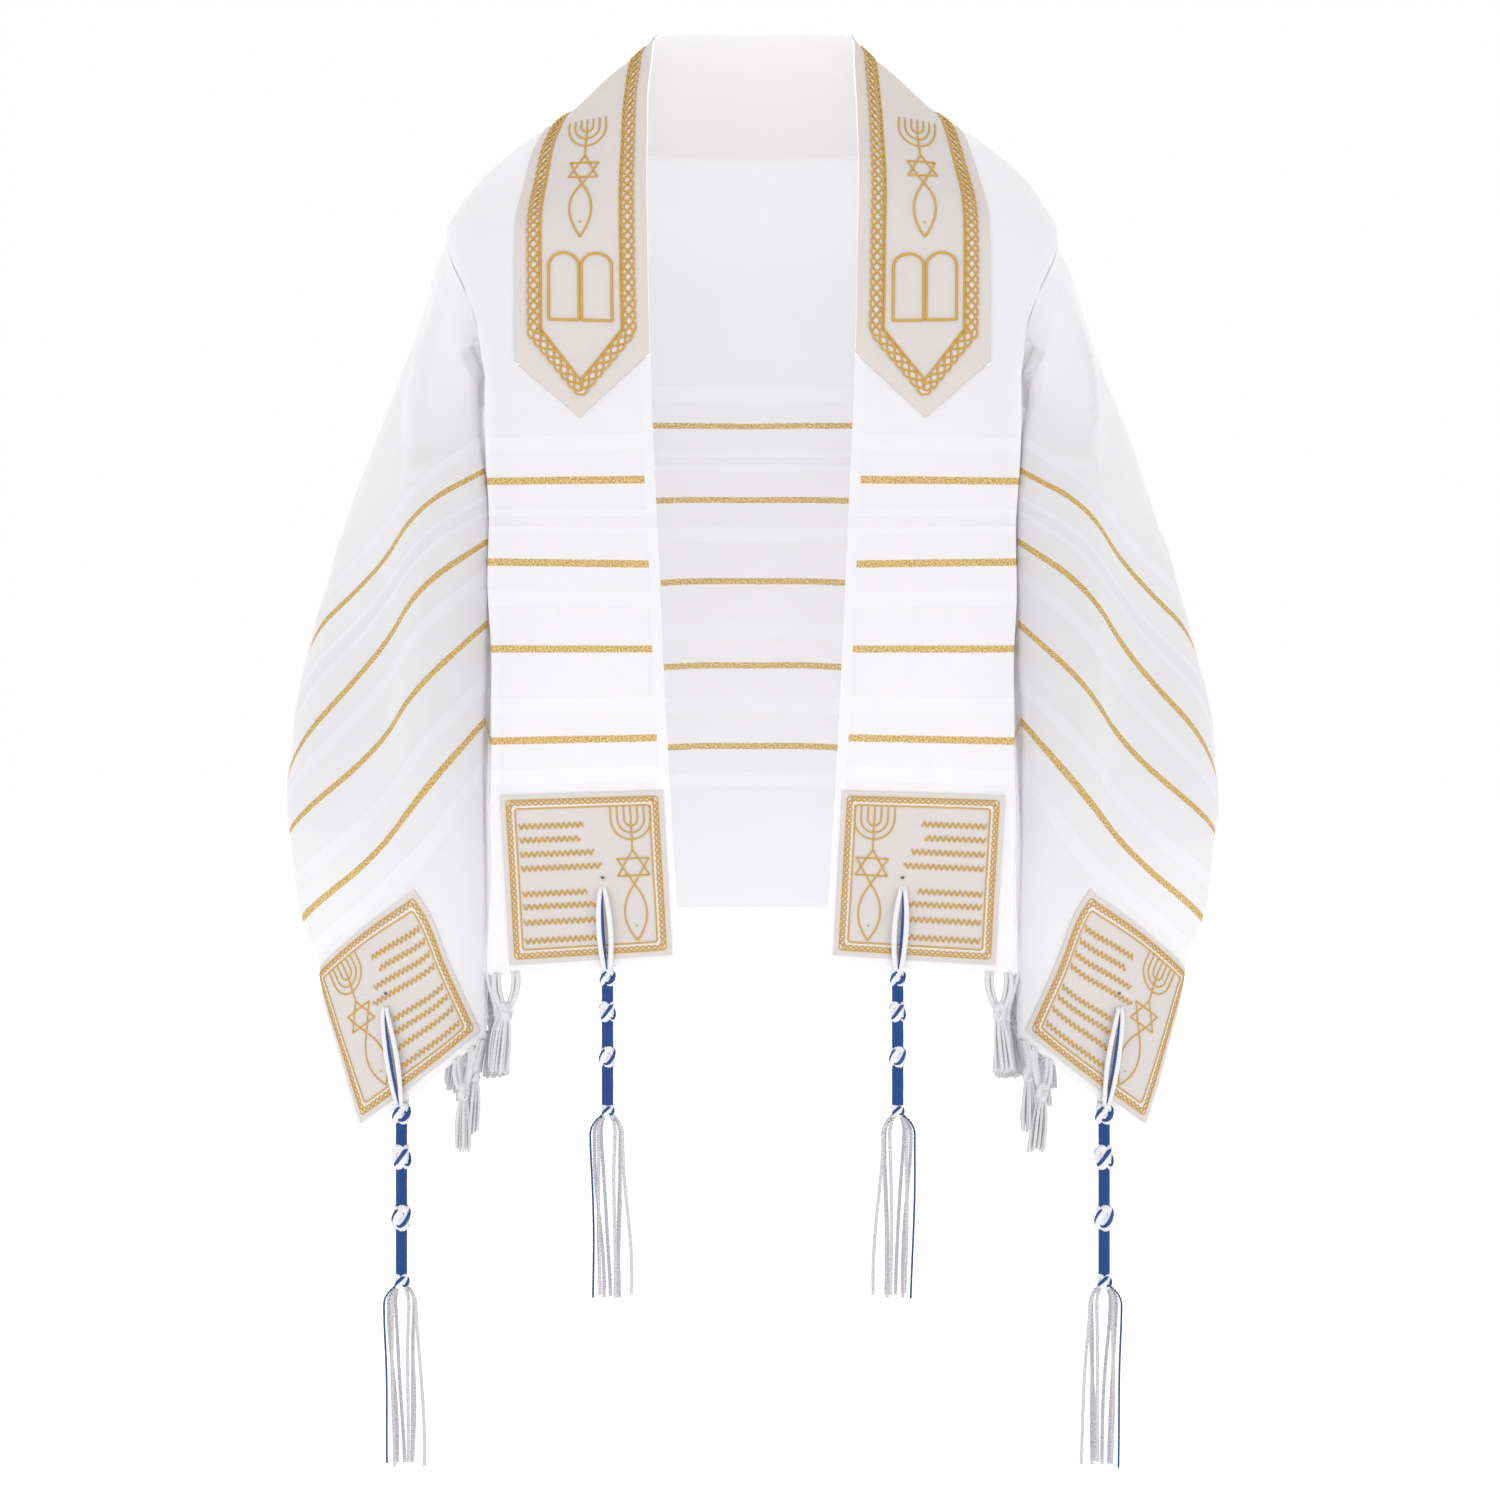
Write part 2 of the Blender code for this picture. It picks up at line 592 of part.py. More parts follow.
def corner_frame(left, front):
    """Eyelet place on the cloth, the outward direction there, and where the cords pass the hem."""
    sign = 1.0 if left else -1.0
    from_hem = EYELET_INSET if front else OUTER_EYELET_INSET
    rows = [sign * (HALF_LENGTH - inset) for inset in (from_hem + 0.02, from_hem, 0.0)]
    rows = rows if left else rows[::-1]
    points, normals = cloth_grid(rows)
    eyelet_row, hem_row = (1, 2) if left else (1, 0)
    lines = points.shape[1]
    if front:
        line = hem_line = ACROSS_PANEL.index(NECKBAND_TIP_ACROSS)
    else:
        line = lines - len(FROM_LOWER_EDGE) + FROM_LOWER_EDGE.index(EYELET_FROM_EDGE)
        hem_line = lines - len(FROM_LOWER_EDGE) + FROM_LOWER_EDGE.index(CORD_FROM_EDGE)
    return points[eyelet_row, line], unit(normals[eyelet_row, line]), points[hem_row, hem_line]


def make_eyelet_cutters():
    """One hidden object with the four eyelet cutters."""
    parts = []
    for left in (True, False):
        for front in (True, False):
            eyelet, normal, _ = corner_frame(left, front)
            reach = normal * CUTTER_REACH
            parts.append(tube([eyelet - reach, eyelet + reach], [EYELET_RADIUS] * 2, 8, (0, 0, 1)))
    helpers = helper_collection("eyelet_cutters")
    return helper("eyelet_cutter", parts, helpers)


def make_tzitzit(name, left, front):
    """A corner tassel: a loop through the eyelet, knots with wraps between them, and strands."""
    eyelet, normal, hem = corner_frame(left, front)
    down = np.array([0.0, 0.0, -1.0])
    clear = CLOTH_WALL / 2 + SEAM_GAP + TRIM_WALL + TZITZIT_CLEAR + LOOP_RADIUS
    behind = CLOTH_WALL / 2 + TZITZIT_CLEAR + LOOP_RADIUS
    knot = hem + down * KNOT_DROP
    column = [knot - down * KNOT_HEIGHT / 2]
    radii = [KNOT_RADIUS * NARROW_END]

    def add(distance, radius):
        column.append(column[-1] + down * distance)
        radii.append(radius)

    for wrap in FRONT_WRAPS if front else OUTER_WRAPS:
        add(KNOT_HEIGHT * 0.5, KNOT_RADIUS)
        add(KNOT_HEIGHT * 0.5, WRAP_RADIUS)
        add(wrap, WRAP_RADIUS)
    add(KNOT_HEIGHT * 0.5, KNOT_RADIUS)
    add(KNOT_HEIGHT * 0.5, WRAP_RADIUS * 0.9)
    bottom = column[-1]
    made = mesh_object(name, *tube(column, radii, 6))
    helpers = helper_collection(name + "_parts")
    inside, outside = eyelet - normal * behind, eyelet + normal * clear
    hem_inside = hem - normal * (behind + LOOP_HEM_CLEAR)
    hem_outside = hem + normal * clear
    loop = [
        knot,
        knot * 0.35 + hem_outside * 0.65,
        hem_outside * 0.55 + outside * 0.45,
        outside + down * LOOP_TURN_DROP,
        outside - down * LOOP_BRIDGE_DROP,
        eyelet,
        inside - down * LOOP_BRIDGE_DROP,
        inside + down * LOOP_TURN_DROP,
        hem_inside * 0.55 + inside * 0.45,
        knot * 0.35 + hem_inside * 0.65,
        knot,
    ]
    helper(name + "_loop", [tube(loop, [LOOP_RADIUS] * len(loop), 5, (1, 0, 0))], helpers)
    for k in range(STRANDS):
        turn = 2 * math.pi * (k + 0.5) / STRANDS
        out = np.array([math.cos(turn), BUNCH_DEPTH * math.sin(turn), 0.0])
        length = STRAND_LENGTH * (1.0 - STRAND_UNEVENNESS * (k * 5 % STRANDS) / STRANDS)
        start = bottom - down * STRAND_ROOT_DROP + out * STRAND_ROOT_REACH
        path = [start]
        for share, spread in STRAND_SPREAD:
            path.append(start + down * length * share + out * STRAND_FLARE * spread)
        helper(f"{name}_strand_{k}", [tube(path, [STRAND_RADIUS] * 3, 3, (0, 1, 0))], helpers)
    boolean(made, helpers, "UNION", overlapping=True)
    made.data.shade_smooth()
    finish(made, BLUE_WHITE, 0.8)
    return made


def main():
    for obj in list(bpy.data.objects):
        bpy.data.objects.remove(obj)
    cutters = make_eyelet_cutters()
    make_shawl(cutters)
    make_neckband()
    for side, left in (("left", True), ("right", False)):
        for place, front in (("front", True), ("outer", False)):
            make_patch(f"corner_patch_{place}_{side}", left, front, cutters)
            make_tzitzit(f"tzitzit_{place}_{side}", left, front)
        make_fringe(f"fringe_{side}", left)


main()
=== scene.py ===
"""Dresses a worn prayer shawl (tallit) in its real finishes, and sets it in a plain pale studio.

Metres, +Z up, +Y towards the wearer's back, origin at the base of the neck. The cloth is laid out
by its own two directions: "along" is measured along its length from the middle of the back,
positive towards the corners at -X, and "across" is measured over its width from the neck edge.
"""

import logging
import math
from dataclasses import dataclass, field
from enum import Enum
from typing import Sequence, TypeAlias

import bpy
import numpy as np
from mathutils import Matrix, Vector


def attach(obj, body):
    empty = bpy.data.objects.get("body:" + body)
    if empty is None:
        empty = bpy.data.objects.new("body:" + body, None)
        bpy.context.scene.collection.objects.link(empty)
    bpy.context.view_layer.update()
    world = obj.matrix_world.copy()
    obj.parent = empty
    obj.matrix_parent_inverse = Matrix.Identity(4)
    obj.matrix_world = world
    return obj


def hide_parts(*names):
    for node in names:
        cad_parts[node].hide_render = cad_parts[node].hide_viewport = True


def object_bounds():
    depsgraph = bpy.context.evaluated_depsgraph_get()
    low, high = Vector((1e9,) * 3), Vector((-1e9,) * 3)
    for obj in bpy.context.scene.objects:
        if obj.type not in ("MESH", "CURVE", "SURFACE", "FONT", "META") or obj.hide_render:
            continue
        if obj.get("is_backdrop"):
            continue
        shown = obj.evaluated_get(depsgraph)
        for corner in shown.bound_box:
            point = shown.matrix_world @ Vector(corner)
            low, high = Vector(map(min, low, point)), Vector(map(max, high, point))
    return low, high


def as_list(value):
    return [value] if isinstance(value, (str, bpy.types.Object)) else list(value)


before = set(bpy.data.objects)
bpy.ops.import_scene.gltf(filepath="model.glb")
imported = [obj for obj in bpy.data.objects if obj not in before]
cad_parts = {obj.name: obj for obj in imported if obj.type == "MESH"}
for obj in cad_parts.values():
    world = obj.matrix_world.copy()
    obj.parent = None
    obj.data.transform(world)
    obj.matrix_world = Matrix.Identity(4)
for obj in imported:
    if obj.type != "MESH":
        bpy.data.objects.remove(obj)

log = logging.getLogger("tallit")

Array: TypeAlias = np.ndarray
Color: TypeAlias = tuple[float, float, float]
Row: TypeAlias = tuple[float, ...]
Table: TypeAlias = tuple[Row, ...]
Box: TypeAlias = tuple[Vector, Vector]

CLOTH_LENGTH = 1.83
CLOTH_WIDTH = 0.78
DOWN = np.array([0.0, 0.0, -1.0])
BACKWARD = np.array([0.0, 1.0, 0.0])
KNOT_UP = (0.13, 0.21, 0.97)
YARN_UP = (0.31, 0.95, 0.07)
STRAND_UP = (0.1, -1.0, 0.05)
WHITE = (1.0, 1.0, 1.0)


class Half(Enum):
    """The two halves of the shawl, with the sign that "along" has on each."""

    LEFT = 1.0
    RIGHT = -1.0


class Corner(Enum):
    """The two corners of each short end, by the neck edge and by the lower edge.

    The numbers are the places that their values have in a row of two.
    """

    FRONT = 0
    OUTER = 1


def corner_name(corner: Corner, half: Half) -> str:
    """Name of one of the four corners, such as front_left."""
    return f"{corner.name}_{half.name}".lower()


# ---- Arrays and meshes -------------------------------------------------------------------------


def unit(vectors: Array) -> Array:
    """Vectors scaled to length 1 over their last axis.

    Args:
        vectors: Any array whose last axis holds x, y and z.

    Returns:
        The same array with each vector divided by its length.
    """
    return vectors / np.maximum(np.linalg.norm(vectors, axis=-1, keepdims=True), 1e-12)


def smoothstep(values: Array) -> Array:
    """The curve 3t^2 - 2t^3, with t held between 0 and 1."""
    t = np.clip(values, 0.0, 1.0)
    return t * t * (3.0 - 2.0 * t)


def reach_of(lines: Array) -> Array:
    """Length along a line, or along each of several, up to each of its points."""
    steps = np.linalg.norm(np.diff(lines, axis=-2), axis=-1)
    return np.concatenate([np.zeros_like(steps[..., :1]), np.cumsum(steps, axis=-1)], axis=-1)


def evenly(line: Array, count: int) -> Array:
    """Reads a line at even steps along its length, by straight lines between its points.

    Args:
        line: The line's points.
        count: Number of points to read.

    Returns:
        The points, from the line's start to its end.
    """
    reach = reach_of(line)
    places = np.linspace(0.0, reach[-1], count)
    return np.stack([np.interp(places, reach, values) for values in line.T], axis=1)


def bend(start: Array, control: Array, end: Array, steps: int) -> Array:
    """Curves (1-t)^2 A + 2t(1-t) C + t^2 B through arrays of points.

    Args:
        start: Points A, one to a curve.
        control: Points C.
        end: Points B.
        steps: Number of points on a curve.

    Returns:
        The points, curves by steps by 3.
    """
    t = np.linspace(0.0, 1.0, steps)[:, None]
    a, c, b = start[:, None], control[:, None], end[:, None]
    return (1 - t) ** 2 * a + 2 * t * (1 - t) * c + t**2 * b


def grid_faces(rows: int, columns: int, around: bool = False) -> Array:
    """Quads of a grid of vertices that is stored row by row.

    Args:
        rows: Number of rows of vertices.
        columns: Number of vertices in a row.
        around: True where the last vertex of a row joins the first.

    Returns:
        Array of four vertex indices for each quad.
    """
    i, j = np.meshgrid(np.arange(rows - 1), np.arange(columns - (not around)), indexing="ij")
    after = (j + 1) % columns
    row, below = i * columns, (i + 1) * columns
    return np.stack([row + j, row + after, below + after, below + j], axis=-1).reshape(-1, 4)


@dataclass
class MeshParts:
    """Vertices, quads, UV and material numbers of a mesh that grows part by part."""

    vertices: list[Array] = field(default_factory=list)
    quads: list[Array] = field(default_factory=list)
    uv: list[Array] = field(default_factory=list)
    shades: list[Array] = field(default_factory=list)
    count: int = 0
    sharp_degrees: float = 50.0

    def add(self, vertices: Array, quads: Array, uv: Array, shade: int = 0) -> None:
        """Adds vertices with their quads, which count from the first of those vertices.

        Args:
            vertices: Array of n points.
            quads: Array of four indices into those points for each face.
            uv: Array of n pairs, in metres over the surface.
            shade: Number of the material that the faces have.
        """
        self.vertices.append(vertices.reshape(-1, 3))
        self.quads.append(quads + self.count)
        self.uv.append(uv.reshape(-1, 2))
        self.shades.append(np.full(len(quads), shade, dtype=np.int32))
        self.count += len(self.vertices[-1])

    def cords(
        self,
        paths: Array,
        up: Array | Row,
        wide: Array | float,
        high: Array | float | None = None,
        sides: int = 6,
        twist: float = 0.0,
        flute: float = 0.0,
        shade: int = 0,
    ) -> None:
        """Adds closed cords with an elliptic section.

        Its points are p + side * wide * cos(a) + up * high * sin(a).

        Args:
            paths: Centre lines, cords by points by 3, or one line alone.
            up: Direction of the section's height, for all or for each point. It needn't be square
                to the path.
            wide: Half the width, one number or one for each point of each cord.
            high: Half the height, the same way, or None where it is as much as the width.
            sides: Number of vertices round the section.
            twist: Turns of the section for each metre of cord.
            flute: Depth of three flutes round the section, as a share of its size.
            shade: Number of the material.
        """
        paths = paths.reshape(-1, *paths.shape[-2:])
        count, steps = paths.shape[:2]
        ahead = unit(np.gradient(paths, axis=1))
        side = unit(np.cross(ahead, np.broadcast_to(up, paths.shape)))
        over = np.cross(side, ahead)
        reach = reach_of(paths)[..., None]
        turns = np.linspace(0.0, 2 * math.pi, sides, endpoint=False)
        angle = turns + 2 * math.pi * twist * reach
        grown = 1.0 + flute * np.cos(3 * turns)
        width, height = (
            np.broadcast_to(size, (count, steps))[:, :, None] * grown
            for size in (wide, wide if high is None else high)
        )
        ring = side[:, :, None] * (width * np.cos(angle))[..., None]
        ring = paths[:, :, None] + ring + over[:, :, None] * (height * np.sin(angle))[..., None]
        uv = np.stack(np.broadcast_arrays(reach, turns * 0.01), axis=-1)
        starts = (np.arange(count) * steps * sides)[:, None, None]
        walls = grid_faces(steps, sides, around=True)[None, :, ::-1] + starts
        fan = np.arange(1, sides - 1)
        cap = np.stack([np.zeros_like(fan), fan, fan + 1, fan + 1], axis=1)
        ends = np.stack([cap, cap[:, ::-1] + (steps - 1) * sides])[None] + starts[..., None]
        self.add(ring, np.concatenate([walls.reshape(-1, 4), ends.reshape(-1, 4)]), uv, shade)

    def build(
        self, name: str, materials: Sequence[bpy.types.Material], slot: str = "", node: str = ""
    ) -> bpy.types.Object:
        """Makes the object. Quads with two equal corners become triangles.

        Args:
            name: Name of the object and its mesh.
            materials: Its materials, in the order of their numbers.
            slot: Its material slot, where it is a piece of the shawl; not used.
            node: The CAD node that it stands for, where it stands for one.

        Returns:
            The new object, linked to the scene, with its UV map "weave".
        """
        vertices, quads = np.concatenate(self.vertices), np.concatenate(self.quads)
        uv = np.concatenate(self.uv)
        mesh = bpy.data.meshes.new(name)
        keep = np.ones(quads.shape, dtype=bool)
        keep[:, 1:] = quads[:, 1:] != quads[:, :-1]
        keep[:, 0] = quads[:, 0] != quads[:, 3]
        totals = keep.sum(axis=1)
        corners = quads[keep]
        mesh.vertices.add(len(vertices))
        mesh.vertices.foreach_set("co", vertices.astype(np.float32).ravel())
        mesh.loops.add(len(corners))
        mesh.loops.foreach_set("vertex_index", corners.astype(np.int32))
        mesh.polygons.add(len(quads))
        starts = np.concatenate([[0], np.cumsum(totals)[:-1]])
        mesh.polygons.foreach_set("loop_start", starts.astype(np.int32))
        mesh.polygons.foreach_set("material_index", np.concatenate(self.shades))
        for material in materials:
            mesh.materials.append(material)
        layer = mesh.uv_layers.new(name="weave")
        layer.data.foreach_set("uv", uv[corners].astype(np.float32).ravel())
        mesh.update(calc_edges=True)
        mesh.validate()
        mesh.shade_smooth()
        mesh.set_sharp_from_angle(angle=math.radians(self.sharp_degrees))
        made = bpy.data.objects.new(name, mesh)
        bpy.context.scene.collection.objects.link(made)
        if node:
            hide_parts(node)
        return made


def thin_wall(outer: Array, inner: Array, along: Array, across: Array) -> MeshParts:
    """A closed wall: an outer grid, an inner grid behind it, and the rim that joins them.

    Args:
        outer: Points of the outer face, rows by columns.
        inner: Points of the inner face, on the same grid.
        along: Places along the cloth on that grid, for the map of both faces.
        across: Places across it.

    Returns:
        The wall's mesh.
    """
    rows, columns = outer.shape[:2]
    index = np.arange(rows * columns).reshape(rows, columns)
    loop = np.concatenate([index[0], index[1:, -1], index[-1, -2::-1], index[-2:0:-1, 0]])
    after = np.roll(loop, -1)
    under = rows * columns
    rim = np.stack([after, loop, loop + under, after + under], axis=1)
    face = grid_faces(rows, columns)
    vertices = np.concatenate([outer.reshape(-1, 3), inner.reshape(-1, 3)])
    quads = np.concatenate([face, face[:, ::-1] + under, rim])
    uv = np.stack([along, across], axis=-1).reshape(-1, 2)
    parts = MeshParts()
    parts.add(vertices, quads, np.concatenate([uv] * 2))
    return parts


def even_wall(points: Array, normals: Array, wall: float, along: Array, across: Array) -> MeshParts:
    """A closed wall of even thickness, half of it to each side of a grid of points.

    Args:
        points: The wall's middle, rows by columns.
        normals: Its outward directions.
        wall: Its thickness.
        along: The place along the cloth of each row.
        across: The places across it on the grid.

    Returns:
        The wall's mesh.
    """
    along = np.broadcast_to(along[:, None], across.shape)
    return thin_wall(points + normals * wall / 2, points - normals * wall / 2, along, across)


# ---- The hang of the cloth ---------------------------------------------------------------------


def guide(table: Table, along: Array) -> Array:
    """Points of a guide line: a cubic Hermite curve through its rows, mirrored past the middle.

    On each span the point is h00 p0 + h10 m0 + h01 p1 + h11 m1, with slopes m by differences.

    Args:
        table: Rows of along, x, y, z for the half at -X.
        along: Places along the cloth, negative on the other half.

    Returns:
        One point for each place.
    """
    rows = np.array(table)
    mirrored = rows[:0:-1] * np.array([-1.0, -1.0, 1.0, 1.0])
    rows = np.concatenate([mirrored, rows])
    places, values = rows[:, 0], rows[:, 1:]
    slopes = np.gradient(values, places, axis=0)
    k = np.clip(np.searchsorted(places, along) - 1, 0, len(places) - 2)
    span = (places[k + 1] - places[k])[:, None]
    t = (along - places[k])[:, None] / span
    leaving = (2 * t**3 - 3 * t**2 + 1) * values[k] + (t**3 - 2 * t**2 + t) * span * slopes[k]
    reaching = (3 * t**2 - 2 * t**3) * values[k + 1] + (t**3 - t**2) * span * slopes[k + 1]
    return leaving + reaching


def read_rows(rows: Array, places: Array, reach: Array, values: Array) -> Array:
    """Reads tables of values, one to a row, by straight lines between their points.

    Args:
        rows: Which row to read at each place.
        places: Where to read on it.
        reach: Where each row's values stand, rows by points, rising from 0 and under 10.
        values: The values, rows by points by channels.

    Returns:
        An array of the places' shape with the channels last.
    """
    at = places + 10.0 * rows
    known = (reach + 10.0 * np.arange(len(reach))[:, None]).ravel()
    read = [np.interp(at, known, values[..., c].ravel()) for c in range(values.shape[2])]
    return np.stack(read, axis=-1)


def outward(points: Array) -> Array:
    """Unit normals of a grid of points, rows along and lines across, on the cloth's outer side."""
    return unit(np.cross(np.gradient(points, axis=1), np.gradient(points, axis=0)))


@dataclass
class Surface:
    """The cloth's middle surface: a grid of points over the cloth's own two directions."""

    along: Array
    across: Array
    points: Array
    normals: Array

    def place(self, along: Array, across: Array, lift: Array | float = 0.0) -> Array:
        """Points on the cloth, or lifted off it towards its outer side.

        Between two rows of the grid it is P = (1 - s) * before(across) + s * after(across).

        Args:
            along: Places along the cloth, in metres.
            across: Distances from the neck edge over the cloth, of the same shape.
            lift: Height over the middle surface.

        Returns:
            An array of the same shape with x, y, z last.
        """
        along, across = np.broadcast_arrays(np.asarray(along, float), np.asarray(across, float))
        k = np.clip(np.searchsorted(self.along, along) - 1, 0, len(self.along) - 2)
        share = ((along - self.along[k]) / (self.along[k + 1] - self.along[k]))[..., None]
        both = np.concatenate([self.points, self.normals], axis=2)
        before, after = (
            read_rows(row, np.clip(across, 0.0, self.across[row, -1]), self.across, both)
            for row in (k, k + 1)
        )
        found = before * (1 - share) + after * share
        return found[..., :3] + unit(found[..., 3:]) * np.asarray(lift)[..., None]

    def normal(self, along: Array, across: Array) -> Array:
        """Outward unit normals of the cloth at these places."""
        return unit(self.place(along, across, 0.01) - self.place(along, across, -0.01))

    def laid_wall(self, along: Array, across: Array, under: float, wall: float) -> MeshParts:
        """A thin wall laid on the cloth's outer side.

        Args:
            along: Places along the cloth on the wall's grid.
            across: Places across it.
            under: Height of the wall's inner face over the middle surface.
            wall: Its thickness.

        Returns:
            The wall's mesh.
        """
        top = self.place(along, across, under + wall)
        return thin_wall(top, self.place(along, across, under), along, across)


@dataclass(frozen=True)
class Drape:
    """How the cloth hangs: guide lines that run along it, and the pleat and flutes between them.

    Each row of a guide line is along, x, y, z on the half at -X. A row of the pleat is along, the
    depth that it may have, how far its layers stand apart, the rounding of its folds. A flute is
    along at its middle, half its width, its depth outward, how far across the cloth it starts. A
    soft fold is its start, end, height and width, then its line's places along and across. A wave
    is its height, its numbers along and across, and its turn. Hidden cloth starts at a place
    across and is all in over a length.
    """

    half_length: float = CLOTH_LENGTH / 2
    cloth_width: float = CLOTH_WIDTH
    neck_edge: Table = (
        (0.0, 0.0, 0.075, 0.068), (0.045, -0.046, 0.07, 0.068), (0.083, -0.077, 0.048, 0.062),
        (0.112, -0.084, 0.029, 0.052), (0.14, -0.085, 0.005, 0.03), (0.235, -0.087, -0.06, -0.045),
        (0.35, -0.085, -0.1, -0.15), (0.455, -0.082, -0.118, -0.257),
        (0.588, -0.0757, -0.12, -0.399), (0.726, -0.0693, -0.12, -0.536),
        (0.915, -0.0587, -0.12, -0.7225),
    )
    panel_fold: Table = (
        (0.0, 0.0, 0.11, -0.075), (0.045, -0.058, 0.11, -0.073), (0.083, -0.112, 0.102, -0.056),
        (0.112, -0.15, 0.09, -0.034), (0.14, -0.183, 0.072, -0.026), (0.188, -0.227, 0.03, -0.056),
        (0.235, -0.246, -0.018, -0.092), (0.31, -0.247, -0.07, -0.128),
        (0.37, -0.23, -0.095, -0.182), (0.42, -0.222, -0.108, -0.23),
        (0.523, -0.2155, -0.115, -0.331), (0.655, -0.2118, -0.115, -0.466),
        (0.915, -0.2125, -0.115, -0.7326),
    )
    sleeve_fold: Table = (
        (0.0, 0.0, 0.117, -0.175), (0.045, -0.058, 0.117, -0.172), (0.083, -0.112, 0.115, -0.16),
        (0.14, -0.192, 0.092, -0.115), (0.188, -0.24, 0.056, -0.12), (0.235, -0.26, 0.002, -0.145),
        (0.31, -0.263, -0.055, -0.16), (0.37, -0.249, -0.092, -0.203),
        (0.42, -0.235, -0.103, -0.24), (0.46, -0.225, -0.101, -0.271),
        (0.523, -0.2172, -0.102, -0.321), (0.655, -0.216, -0.096, -0.444),
        (0.726, -0.2184, -0.096, -0.521), (0.915, -0.217, -0.0895, -0.785),
    )
    sleeve_crest: Table = (
        (0.0, 0.0, 0.122, -0.3), (0.045, -0.056, 0.122, -0.298), (0.083, -0.106, 0.121, -0.29),
        (0.14, -0.18, 0.108, -0.265), (0.235, -0.278, 0.045, -0.25), (0.31, -0.284, -0.026, -0.215),
        (0.37, -0.284, -0.066, -0.232), (0.42, -0.276, -0.088, -0.282),
        (0.523, -0.271, -0.11, -0.35), (0.655, -0.272, -0.112, -0.495),
        (0.726, -0.271, -0.106, -0.58), (0.77, -0.264, -0.099, -0.652),
        (0.915, -0.2415, -0.084, -0.803),
    )
    sleeve_flank: Table = (
        (0.0, 0.0, 0.124, -0.43), (0.045, -0.053, 0.124, -0.43), (0.083, -0.098, 0.124, -0.425),
        (0.14, -0.17, 0.118, -0.4), (0.235, -0.29, 0.075, -0.36), (0.31, -0.31, 0.02, -0.32),
        (0.37, -0.314, -0.035, -0.292), (0.42, -0.309, -0.063, -0.32),
        (0.523, -0.308, -0.075, -0.404), (0.655, -0.308, -0.06, -0.548),
        (0.726, -0.308, -0.063, -0.63), (0.77, -0.314, -0.066, -0.687),
        (0.915, -0.2715, -0.08, -0.828),
    )
    sleeve_side: Table = (
        (0.0, 0.0, 0.125, -0.56), (0.045, -0.049, 0.125, -0.56), (0.083, -0.09, 0.125, -0.56),
        (0.14, -0.152, 0.124, -0.54), (0.235, -0.262, 0.11, -0.5), (0.31, -0.318, 0.075, -0.45),
        (0.37, -0.351, 0.014, -0.388), (0.42, -0.3585, -0.003, -0.39),
        (0.46, -0.3695, -0.01, -0.414), (0.523, -0.3905, -0.01, -0.468),
        (0.588, -0.397, -0.018, -0.56), (0.655, -0.388, -0.032, -0.61),
        (0.726, -0.3755, -0.046, -0.683), (0.77, -0.3595, -0.041, -0.7255),
        (0.84, -0.3365, -0.054, -0.787), (0.915, -0.305, -0.068, -0.853),
    )
    lower_edge: Table = (
        (0.0, 0.0, 0.125, -0.688), (0.045, -0.043, 0.125, -0.688), (0.083, -0.078, 0.126, -0.69),
        (0.14, -0.13, 0.127, -0.696), (0.235, -0.208, 0.127, -0.696), (0.31, -0.266, 0.12, -0.69),
        (0.37, -0.31, 0.106, -0.682), (0.42, -0.335, 0.086, -0.675), (0.523, -0.368, 0.04, -0.655),
        (0.588, -0.38, 0.012, -0.643), (0.655, -0.386, -0.012, -0.63),
        (0.726, -0.375, -0.022, -0.693), (0.77, -0.361, -0.016, -0.7325),
        (0.797, -0.3582, -0.028, -0.7575), (0.84, -0.3485, -0.038, -0.798),
        (0.915, -0.3255, -0.056, -0.868),
    )
    pleat: Table = (
        (0.0, 0.004, 0.03, 0.03), (0.14, 0.004, 0.028, 0.018), (0.235, 0.004, 0.026, 0.02),
        (0.31, 0.006, 0.02, 0.024), (0.37, 0.006, 0.017, 0.02), (0.42, 0.014, 0.014, 0.014),
        (0.46, 0.036, 0.012, 0.01), (0.523, 0.1, 0.012, 0.008), (0.655, 0.19, 0.013, 0.007),
        (0.915, 0.23, 0.014, 0.007),
    )
    flutes: Table = (
        (0.165, 0.042, 0.011, 0.24), (0.235, 0.04, -0.012, 0.22), (0.305, 0.042, 0.009, 0.26),
        (0.375, 0.04, -0.006, 0.3), (0.445, 0.042, 0.006, 0.34), (0.515, 0.04, -0.005, 0.42),
    )
    pleat_turn: Row = (-0.13, 0.99, 0.0)
    pleat_formed: float = 0.05
    pleat_least: float = 0.002
    pleat_unformed_spread: float = 0.3
    soft_rounding: float = 0.2
    rounding_reach: float = 0.48
    hidden: Row = (0.14, 0.36)
    flute_growth: float = 0.8
    fold_fade: float = 0.05
    crown: Row = (0.118, 0.065, 0.010, 0.050, 0.055)
    soft_folds: tuple[tuple[Row, Row, Row], ...] = (
        ((0.25, 0.48, 0.0035, 0.013), (0.253, 0.370, 0.400, 0.490), (0.170, 0.163, 0.166, 0.143)),
        ((0.31, 0.50, 0.0045, 0.015), (0.328, 0.355, 0.427, 0.478), (0.194, 0.208, 0.254, 0.3265)),
    )
    waves: tuple[Row, ...] = (
        (0.0007, 41.0, 9.0, 0.4), (0.0005, 67.0, -21.0, 1.9), (0.0004, 23.0, 57.0, 4.1),
    )
    samples: int = 13
    line_counts: tuple[int, ...] = (28, 8, 6, 6, 1, 6, 6, 8, 66)
    mouth_lines: tuple[int, int] = (37, 63)

